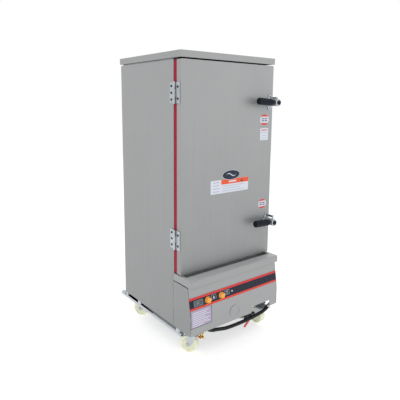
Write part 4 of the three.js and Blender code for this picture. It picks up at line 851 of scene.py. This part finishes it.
# ---------------------------------------------------------------- latches
class CABINET_OT_latches(bpy.types.Operator):
    """Make the two latches: ribbed grips, chrome barrels, caps, tongues and their screws"""

    bl_idname = "cabinet.latches"
    bl_label = "Latches"

    def execute(self, context):
        fittings = context.scene.cabinet_fittings
        for level in ("upper", "lower"):
            node = f"latch_{level}_handle"
            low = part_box(node)[0]
            axis = JOINTS[f"{level}_latch_turn"]["pos_m"]
            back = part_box(f"latch_{level}_base")[0].y - BACK_GAP
            front = Face((axis[0], back, axis[2]), (1, 0, 0), (0, 0, 1))
            cap_end = back - low.y
            barrel_end = cap_end - 0.004

            barrel = Piece()
            profile = [
                (0.004, 0), (0.0205, 0), (0.022, 0.0015), (0.022, 0.008), (0.0208, 0.009), (0.0208, 0.0105),
                (0.022, 0.0115), (0.022, barrel_end - 0.012), (0.0212, barrel_end - 0.0115),
                (0.0212, barrel_end - 0.0095), (0.022, barrel_end - 0.009), (0.022, barrel_end - 0.003),
                (0.019, barrel_end), (0.004, barrel_end),
            ]
            barrel.lathe(front, profile, "chrome", 48)
            tongue = [
                (0.0, -0.007), (0.038, -0.007), (0.0425, -0.0045), (0.044, 0.0),
                (0.0425, 0.0045), (0.038, 0.007), (0.0, 0.007),
            ]
            barrel.plate(front, tongue, 0.001, 0.006, "zinc", 0.0004)
            barrel = barrel.named(f"latch_{level}_barrel", f"{level}_latch", "chrome")
            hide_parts(node)

            cap = Piece()
            profile = [
                (0.004, barrel_end - 0.001), (0.0138, barrel_end - 0.001), (0.014, barrel_end + 0.0008),
                (0.0138, cap_end - 0.001), (0.0120, cap_end), (0.0065, cap_end - 0.0006),
                (0.0055, cap_end - 0.0016), (0.0003, cap_end - 0.0018),
            ]
            cap.lathe(front, profile, "grip plastic", 40)
            cap.named(f"latch_{level}_cap", f"{level}_latch", "black_plastic")

            grip = Piece()
            tilt = math.radians(3.2)
            along = Vector((-math.cos(tilt), 0, math.sin(tilt)))
            middle = 0.029
            start = front.at(0, 0, middle)
            turned = Face(start, BACKWARD, BACKWARD.cross(along) * -1)
            reach = axis[0] - low.x - 0.0008
            body = [(0.0160, 0.0150), (0.0175, 0.0190), (0.0190, 0.027), (0.0195, 0.034)]
            ribs = fittings.grip_ribs
            pitch = (reach - 0.012 - 0.036) / max(ribs, 1)
            for i in range(ribs):
                z = 0.036 + i * pitch
                body += [(0.0193, z), (0.0208, z + pitch * 0.22)]
                body += [(0.0208, z + pitch * 0.68), (0.0193, z + pitch * 0.9)]
            body += [
                (0.0207, reach - 0.012), (0.0208, reach - 0.006), (0.0196, reach - 0.0020),
                (0.016, reach - 0.0003), (0.0004, reach),
            ]
            loops = []
            for radius, z in body:
                loop = []
                for k in range(28):
                    turn = 2 * math.pi * k / 28
                    side = BACKWARD * (radius * math.cos(turn) * 0.92) + turned.up * (radius * math.sin(turn))
                    loop.append(start + along * z + side)
                loops.append(loop)
            grip.rings(loops, "grip plastic")
            grip.named(f"latch_{level}_grip", f"{level}_latch", "black_plastic", smooth=50)

            screws = Piece()
            plate_out = DOOR_LOW.y - 0.0043
            door = Face((axis[0], plate_out, axis[2]), (1, 0, 0), (0, 0, 1))
            for x, z in ((0, 0.036), (0, -0.036)):
                screws.screw(door.moved(x, z).turned(30), 0.0045, 0.0022, "dark screw", "slot_shade")
            screws.named(f"latch_{level}_screws", "door", "zinc_steel")

            keep_low, keep_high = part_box(f"latch_{level}_keeper")
            keeper = Piece()
            side = Face((DOOR_HIGH.x + PLATE_OUT, 0, 0), (0, 1, 0), (0, 0, 1))
            for z in (keep_low.z + 0.01, keep_high.z - 0.01):
                spot = side.moved(keep_high.y - 0.012, z).turned(20)
                keeper.screw(spot, 0.0045, 0.0022, "dark screw", "slot_shade")
            keeper.named(f"latch_{level}_keeper_screws", "cabinet", "zinc_steel")
        return {"FINISHED"}


# ---------------------------------------------------------------- labels on the door
class CABINET_OT_door_labels(bpy.types.Operator):
    """Put the oval badge and the plain printed labels on the door"""

    bl_idname = "cabinet.door_labels"
    bl_label = "Door labels"

    def execute(self, context):
        labels = context.scene.cabinet_labels
        door = Face((0, DOOR_LOW.y, 0), (1, 0, 0), (0, 0, 1))
        film = labels.film

        badge = Piece()
        spot = door.moved(0.013, 1.018)
        width, height = labels.badge_width, labels.badge_height
        badge.plate(spot, oval(width, height), 0.0001, 0.0026, "print pale", 0.0008)
        badge.plate(spot, oval(width - 0.006, height - 0.006), 0.0026, 0.0031, "badge enamel", 0.0003)
        wave = []
        for i in range(25):
            share = i / 24
            wave.append((-0.040 + 0.080 * share, 0.008 * math.sin(share * 2 * math.pi) + 0.001))
        upper = [(x, y + 0.0034 * math.sin(math.pi * i / 24)) for i, (x, y) in enumerate(wave)]
        lower = [(x, y - 0.0034 * math.sin(math.pi * i / 24)) for i, (x, y) in enumerate(wave)]
        badge.plate(spot, lower + upper[1:-1][::-1], 0.0031, 0.0034, "print pale")
        badge.named("badge", "door", "strip_film")

        wide = Piece()
        spot = door.moved(0.0075, 0.9535)
        wide.plate(spot, rectangle(0.297, 0.080, 0.004), 0.0001, film, "print white")
        banner = spot.moved(0.0395, 0.0255)
        wide.plate(banner, rectangle(0.217, 0.028, 0.002), film, film + 0.0001, "print orange")
        wide.plate(banner.moved(-0.02, 0), rectangle(0.06, 0.009), film + 0.0001, film + 0.0002, "print white")
        triangle = [(-0.010, -0.008), (0.010, -0.008), (0.0, 0.009)]
        wide.plate(banner.moved(0.055, 0), triangle, film + 0.0001, film + 0.0002, "print ink")
        for row, width in enumerate((0.17, 0.14, 0.175)):
            line = shifted(rectangle(width, 0.0045), -0.058 + width / 2, 0.001 - row * 0.0145)
            wide.plate(spot, line, film, film + 0.0001, "print grey")
        for row in range(4):
            line = rectangle(0.05 - 0.006 * (row % 2), 0.0035)
            wide.plate(spot.moved(-0.108, 0.027 - row * 0.018), line, film, film + 0.0001, "print lilac")
        wide.named("wide_label", "door", "strip_film")

        rounds = (("upper_round_label", 0.283, 1.336, 1.0), ("lower_round_label", 0.285, 0.805, 0.92))
        for name, x, z, share in rounds:
            disc = Piece()
            spot = door.moved(x, z)
            wide_half, tall_half = labels.round_size / 2 * share, labels.round_size * 0.425 * share
            disc.plate(spot, oval(2 * wide_half, 2 * tall_half), 0.0001, film, "print red")
            rim = sector(1.0, -36, 36, 10) + sector(1.0, 144, 216, 10)
            band = [(x2 * wide_half * 0.99, y2 * tall_half) for x2, y2 in rim]
            disc.plate(spot, band, film, film + 0.0001, "print white")
            for dx, span in ((-0.014, 0.02), (0.012, 0.022)):
                for dy in (-0.006, 0.006):
                    bar = rectangle(span, 0.0055)
                    disc.plate(spot.moved(dx, dy), bar, film + 0.0001, film + 0.0002, "print ink")
            disc.named(name, "door", "strip_film")

        notice = Piece()
        spot = door.moved(0.2835, 1.2475)
        notice.plate(spot, rectangle(0.07, 0.074, 0.003), 0.0001, film, "print white")
        lines = (
            (0.05, 0.006, "print red"), (0.056, 0.004, "print grey"),
            (0.04, 0.004, "print grey"), (0.052, 0.004, "print grey"),
        )
        for row, (width, height, finish) in enumerate(lines):
            line = rectangle(width, height)
            notice.plate(spot.moved(0, 0.025 - row * 0.0165), line, film, film + 0.0001, finish)
        notice.named("notice_label", "door", "strip_film")
        return {"FINISHED"}


# ---------------------------------------------------------------- controls
def seven_segments(digit):
    lit = {"0": "abcdef", "3": "abcdg", "5": "acdfg", "6": "acdefg", "8": "abcdefg"}[digit]
    wide, tall, thick = 0.0058, 0.0115, 0.0012
    spots = {
        "a": (0, tall / 2, wide * 0.8, thick),
        "g": (0, 0, wide * 0.8, thick),
        "d": (0, -tall / 2, wide * 0.8, thick),
        "f": (-wide / 2, tall / 4, thick, tall * 0.4),
        "b": (wide / 2, tall / 4, thick, tall * 0.4),
        "e": (-wide / 2, -tall / 4, thick, tall * 0.4),
        "c": (wide / 2, -tall / 4, thick, tall * 0.4),
    }
    return [spots[name] for name in lit]


def frame_outline(piece, face, width, height, line, low, high, finish):
    for y in (-height / 2 + line / 2, height / 2 - line / 2):
        piece.plate(face.moved(0, y), rectangle(width, line), low, high, finish)
    for x in (-width / 2 + line / 2, width / 2 - line / 2):
        piece.plate(face.moved(x, 0), rectangle(line, height - 2 * line), low, high, finish)


class CABINET_OT_controls(bpy.types.Operator):
    """Make the knobs, the display, the printing on the control strip and a painted orange reflection below each
    knob
    """

    bl_idname = "cabinet.controls"
    bl_label = "Control strip"

    def execute(self, context):
        fittings = context.scene.cabinet_fittings
        knob_axis = Vector(JOINTS["burner_knob_turn"]["axis"])
        out = -knob_axis if knob_axis.y > 0 else knob_axis
        up = out.cross(RIGHT).normalized()
        root = Vector(JOINTS["burner_knob_turn"]["pos_m"])
        strip = Face((0, root.y, root.z), RIGHT, up)
        skin = STRIP_SKIN

        prints = Piece()
        for name in ("burner", "timer"):
            x = JOINTS[f"{name}_knob_turn"]["pos_m"][0]
            dial = strip.moved(x, 0)
            for step in range(11):
                turn = math.radians(200 - step * 22)
                tick = dial.moved(0.0268 * math.cos(turn), 0.0268 * math.sin(turn)).turned(math.degrees(turn))
                prints.plate(tick, rectangle(0.0034, 0.001), skin, skin + 0.0001, "print pale")
            # painted reflection: an amber crescent below and to the right of each knob stands for the orange knob
            # reflected in the strip
            knob_reflection = arc_band(0.0242, 0.0008, 0.0065, 230, 345)
            prints.plate(dial, knob_reflection, skin, skin + 0.0001, "painted knob reflection")
        burner_x, timer_x = (JOINTS[f"{name}_knob_turn"]["pos_m"][0] for name in ("burner", "timer"))
        flame_box = strip.moved(burner_x + 0.047, 0.004)
        frame_outline(prints, flame_box, 0.034, 0.026, 0.0014, skin, skin + 0.0001, "print pale")
        flame = [(-0.004, -0.009), (0.004, -0.009), (0.0066, -0.004), (0.005, 0.002), (0.0028, -0.001),
                 (0.001, 0.0095), (-0.003, 0.003), (-0.0048, 0.0), (-0.0062, -0.004)]
        prints.plate(flame_box, flame, skin, skin + 0.0001, "print pale")
        clock_box = strip.moved(timer_x + 0.047, 0.004)
        frame_outline(prints, clock_box, 0.036, 0.028, 0.0014, skin, skin + 0.0001, "print pale")
        clock = oval(0.018, 0.018, 24)
        prints.plate(clock_box, clock, skin, skin + 0.0001, "print pale")
        prints.plate(clock_box, oval(0.0145, 0.0145, 24), skin + 0.0001, skin + 0.0002, "print ink")
        for x, y, wide, tall in ((0, 0.0026, 0.0012, 0.0052), (0.002, 0, 0.004, 0.0012)):
            hand = rectangle(wide, tall)
            prints.plate(clock_box.moved(x, y), hand, skin + 0.0002, skin + 0.0003, "print pale")
        prints.named("strip_printing", "cabinet", "strip_film")

        lamp = Piece()
        spot = strip.moved(-0.035, 0.002, skin)
        profile = [
            (0.0052, 0), (0.0052, 0.0012), (0.0046, 0.0018), (0.0038, 0.0018), (0.0036, 0.0026), (0.0002, 0.0036),
        ]
        lamp.lathe(spot, profile, "print white", 24)
        lamp.named("pilot_lamp", "cabinet", "display_window")

        display = Piece()
        glass = strip.moved(-0.290, 0)
        frame_outline(display, glass, 0.064, 0.034, 0.0022, skin, skin + 0.0044, "print slate")
        frame_outline(display, glass, 0.058, 0.028, 0.0008, skin + 0.0034, skin + 0.0035, "print grey")
        for place, digit in enumerate("60"):
            for x, y, wide, tall in seven_segments(digit):
                spot = glass.moved(-0.009 + place * 0.011 + x, y)
                display.plate(spot, rectangle(wide, tall), skin + 0.0034, skin + 0.0035, "display digits")
        display.named("display_bezel", "cabinet", "display_window")

        for name in ("burner", "timer"):
            node = f"{name}_knob"
            x = JOINTS[f"{name}_knob_turn"]["pos_m"][0]
            base = strip.moved(x, 0, 0.0026)
            low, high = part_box(node)
            size = (high.x - low.x) / 0.044
            tall = size * 1.01
            knob = Piece()
            flange = [(0.004, 0), (0.0215, 0), (0.022, 0.0008), (0.022, 0.003), (0.021, 0.0042), (0.004, 0.0042)]
            knob.lathe(base, [(radius * size, z) for radius, z in flange], "knob plastic", 48)
            flutes = fittings.knob_flutes
            steps = flutes * 6
            loops = []
            sections = (
                (0.0186, 0.0042, 1), (0.0184, 0.008, 1), (0.0176, 0.0195, 1), (0.0172, 0.0218, 0.7),
                (0.016, 0.0233, 0.3), (0.0145, 0.024, 0), (0.003, 0.024, 0),
            )
            for radius, z, depth in sections:
                loop = []
                for k in range(steps):
                    turn = 2 * math.pi * k / steps
                    cut = 0.0007 * depth * max(0.0, math.cos(flutes * turn)) ** 2
                    shown = (radius - cut) * size
                    loop.append(base.at(shown * math.cos(turn), shown * math.sin(turn), z * tall))
                loops.append(loop)
            knob.rings(loops, "knob plastic")
            half_fin = [(0.0034, -0.0165), (0.0038, 0), (0.0026, 0.0165)]
            fin = [(-0.0034, -0.0165)] + half_fin + [(-0.0026, 0.0165), (-0.0038, 0)]
            fin = [(px * size, py * size) for px, py in fin]
            fin_top = 0.0247
            knob.plate(base, fin, 0.0193, fin_top, "knob plastic", 0.0012)
            mark = shifted(rectangle(0.0013, 0.009), 0, 0.0075)
            knob.plate(base, mark, fin_top, fin_top + 0.00015, "print white")
            knob = knob.named(f"{name}_knob_body", f"{name}_control", "orange_plastic", smooth=30)
            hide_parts(node)
        return {"FINISHED"}


# ---------------------------------------------------------------- firebox
def front_y(z):
    """How far forward the firebox front stands at a height."""
    levels = ((0.145, -FIREBOX_FACE), (0.249, -FIREBOX_FACE), (0.287, -0.165), (0.429, -0.141))
    for (z0, y0), (z1, y1) in zip(levels, levels[1:]):
        if z <= z1:
            return SEAM_Y + y0 + (y1 - y0) * (z - z0) / (z1 - z0)
    return SEAM_Y + levels[-1][1]


def draped_bar(piece, x0, x1, z0, z1, low, high, finish):
    """A thin printed bar that follows the bends of the firebox front."""
    heights = [z0] + [z for z in (0.249, 0.287) if z0 < z < z1] + [z1]
    loops = []
    for z in heights:
        y = front_y(z)
        loops.append([(x0, y - low, z), (x1, y - low, z), (x1, y - high, z), (x0, y - high, z)])
    piece.rings(loops, finish)


class CABINET_OT_firebox(bpy.types.Operator):
    """Put the lilac label, the painted shadow round the round cover and the side screws on the firebox"""

    bl_idname = "cabinet.firebox"
    bl_label = "Firebox fittings"

    def execute(self, context):
        labels, fittings = context.scene.cabinet_labels, context.scene.cabinet_fittings
        film = labels.film
        label = Piece()
        x0, x1, z0, z1 = -0.3445, -0.195, 0.190, 0.2925
        draped_bar(label, x0, x1, z0, z1, 0.0001, film, "print ink")
        ground = (x0 + 0.0015, x1 - 0.0035, z0 + 0.0035, z1 - 0.0005)
        draped_bar(label, *ground, film, film + 0.0001, "print lilac")
        for row in range(8):
            top = z1 - 0.012 - row * 0.0112
            width = (0.118, 0.1, 0.124, 0.09, 0.122, 0.11, 0.126, 0.08)[row]
            line = (x0 + 0.010, x0 + 0.010 + width, top - 0.0042, top)
            draped_bar(label, *line, film + 0.0001, film + 0.0002, "print white")
        label.named("firebox_label", "cabinet", "strip_film")

        wall = Face((PORT_CENTRE[0], SEAM_Y - FIREBOX_FACE, PORT_CENTRE[1]), RIGHT, UP)
        # painted shadow: grey crescents on the right and lower side of the round port cover
        shade = Piece()
        for start, end in ((-88, -18), (46, -18)):
            shade.plate(wall, arc_band(PORT_RIM, 0.0003, 0.0075, start, end), 0.0001, 0.0003, "painted shadow grey")
        shade.named("cover_shadow", "cabinet", "black_rubber")

        screws = Piece()
        face = Face((BODY_HALF_WIDTH, 0, 0), (0, 1, 0), (0, 0, 1))
        for i, z in enumerate((0.172, 0.287, 0.402)):
            spot = face.moved(SEAM_Y - 0.014, z).turned(40 * i)
            screws.screw(spot, fittings.screw_radius * 0.9, fittings.screw_height, "zinc", "slot_shade")
        screws.named("firebox_screws", "cabinet", "zinc_steel")
        return {"FINISHED"}


# ---------------------------------------------------------------- casters
class CABINET_OT_casters(bpy.types.Operator):
    """Make the grooved nylon wheels, axle washers and plate bolts"""

    bl_idname = "cabinet.casters"
    bl_label = "Casters"

    def execute(self, context):
        bolts = Piece()
        for corner in CORNERS:
            roll = JOINTS[f"{corner}_roll"]
            centre, axle = Vector(roll["pos_m"]), Vector(roll["axis"]).normalized()
            hub = Face(centre, axle.cross(UP) * -1, UP)
            if hub.out.dot(axle) < 0:
                hub = Face(centre, axle.cross(UP), UP)
            half = WHEEL_HALF_WIDTH
            side = [
                (0.00545, half - 0.001), (0.0105, half - 0.001), (0.0138, half - 0.0015), (0.0152, half - 0.006),
                (0.0200, half - 0.0066), (0.0212, half - 0.0048), (0.0232, half - 0.0048),
                (0.0244, half - 0.0066), (0.0300, half - 0.0066), (0.0312, half - 0.0044),
                (0.0330, half - 0.0044), (0.0342, half - 0.0064), (0.0378, half - 0.006),
                (0.0408, half - 0.0006), (0.0420, half), (0.0470, half),
                (0.0496, half - 0.0014), (0.0514, half - 0.0042), (WHEEL_RADIUS, half - 0.0080),
            ]
            tread = [(WHEEL_RADIUS, 0.0005)]
            profile = side + tread + [(r, -h) for r, h in (tread + side[::-1])]
            wheel = Piece()
            wheel.lathe(hub, profile, "wheel nylon", 72, ring=True)
            wheel = wheel.named(f"{corner}_roller_body", f"{corner}_roller", "cream_nylon")
            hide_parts(f"{corner}_wheel")

            washers = Piece()
            for rise in (1, -1):
                face = Face(centre, hub.across * rise, UP)
                washer = [(0.0098, 0.0286), (0.0112, 0.0289), (0.0112, 0.0300), (0.0098, 0.0303)]
                washers.lathe(face, washer, "zinc", 28)
                axle_end = [(0.0045, 0.033), (0.0045, 0.0352), (0.0038, 0.0359), (0.0004, 0.036)]
                washers.lathe(face, axle_end, "zinc", 20)
            washers.named(f"{corner}_axle_washers", f"{corner}_caster", "zinc_steel")

            swivel = JOINTS[f"{corner}_swivel"]["pos_m"]
            below = Face((swivel[0], swivel[1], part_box("front_rail")[0].z), (1, 0, 0), (0, -1, 0))
            for x in (-0.029, 0.029):
                for y in (-0.029, 0.029):
                    bolts.hexagon(below.moved(x, y), 0.0052, 0.00005, 0.0036, "zinc")
        bolts.named("caster_bolts", "cabinet", "zinc_steel")
        return {"FINISHED"}


# ---------------------------------------------------------------- valves
class CABINET_OT_valves(bpy.types.Operator):
    """Make the dipped drain lever with its nut"""

    bl_idname = "cabinet.valves"
    bl_label = "Drain lever"

    def execute(self, context):
        turn = JOINTS["drain_lever_turn"]["pos_m"]
        pivot = (turn[0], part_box("drain_valve_lever")[1].y, turn[2])
        angle = math.radians(LEVER_REST_ANGLE)
        down = Vector((-math.sin(angle), 0, -math.cos(angle)))
        across = Vector((math.cos(angle), 0, -math.sin(angle)))
        face = Face(pivot, across * -1, down)
        if face.out.y > 0:
            face = Face(pivot, across, down)
        lever = Piece()
        outline = [
            (-0.0055, 0.004), (0.0055, 0.004), (0.0050, 0.03), (0.0074, 0.04), (0.0074, 0.08), (0.0055, 0.0865),
            (0.0, 0.088), (-0.0055, 0.0865), (-0.0074, 0.08), (-0.0074, 0.04), (-0.0050, 0.03),
        ]
        lever.plate(face, outline, 0.0004, 0.003, "lever vinyl", 0.0004)
        sleeve = [
            (-0.0074, 0.036), (0.0074, 0.036), (0.0076, 0.08), (0.0056, 0.0872),
            (0, 0.0886), (-0.0056, 0.0872), (-0.0076, 0.08),
        ]
        lever.plate(face, sleeve, 0.0001, 0.0045, "lever vinyl", 0.0011)
        washer = [(0.0005, 0), (0.009, 0), (0.009, 0.0042), (0.008, 0.005), (0.0005, 0.005)]
        lever.lathe(face, washer, "zinc", 24)
        lever.hexagon(face, 0.0058, 0.0045, 0.0049, "zinc")
        lever = lever.named("drain_lever_body", "drain_lever", "red_paint")
        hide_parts("drain_valve_lever")
        return {"FINISHED"}


# ---------------------------------------------------------------- panel and registration
STEPS = (
    ("cabinet.finishes", "Mix finishes"),
    ("cabinet.stage", "Stage and camera"),
    ("cabinet.gas_hose", "Gas hose"),
    ("cabinet.sheet_metal", "Sheet metal and parts"),
    ("cabinet.back_fastenings", "Back panel fittings"),
    ("cabinet.hinge_screws", "Hinge screws"),
    ("cabinet.gasket", "Door gasket"),
    ("cabinet.latches", "Latches"),
    ("cabinet.door_labels", "Door labels"),
    ("cabinet.controls", "Control strip"),
    ("cabinet.firebox", "Firebox fittings"),
    ("cabinet.casters", "Casters"),
    ("cabinet.valves", "Drain lever"),
)


class CABINET_PT_sidebar(bpy.types.Panel):
    """Lists what the cabinet is made of"""

    bl_idname = "CABINET_PT_sidebar"
    bl_label = "Proofing cabinet"
    bl_space_type = "VIEW_3D"
    bl_region_type = "UI"
    bl_category = "Cabinet"

    def draw(self, context):
        for step, label in STEPS:
            self.layout.operator(step, text=label)
        for group in (context.scene.cabinet_finishes, context.scene.cabinet_labels,
                      context.scene.cabinet_fittings, context.scene.cabinet_stage):
            column = self.layout.column()
            for name in group.__annotations__:
                column.prop(group, name)


CLASSES = (
    CabinetFinishes, CabinetLabels, CabinetFittings, CabinetStage,
    CABINET_OT_finishes, CABINET_OT_stage, CABINET_OT_gas_hose, CABINET_OT_sheet_metal,
    CABINET_OT_back_fastenings, CABINET_OT_hinge_screws, CABINET_OT_gasket, CABINET_OT_latches,
    CABINET_OT_door_labels, CABINET_OT_controls, CABINET_OT_firebox, CABINET_OT_casters,
    CABINET_OT_valves, CABINET_PT_sidebar,
)


def register():
    for item in CLASSES:
        bpy.utils.register_class(item)
    bpy.types.Scene.cabinet_finishes = PointerProperty(type=CabinetFinishes)
    bpy.types.Scene.cabinet_labels = PointerProperty(type=CabinetLabels)
    bpy.types.Scene.cabinet_fittings = PointerProperty(type=CabinetFittings)
    bpy.types.Scene.cabinet_stage = PointerProperty(type=CabinetStage)


def unregister():
    for name in ("cabinet_stage", "cabinet_fittings", "cabinet_labels", "cabinet_finishes"):
        delattr(bpy.types.Scene, name)
    for item in reversed(CLASSES):
        bpy.utils.unregister_class(item)


def main():
    register()
    for step, _ in STEPS:
        group, name = step.split(".")
        getattr(getattr(bpy.ops, group), name)()


if __name__ == "__main__":
    main()
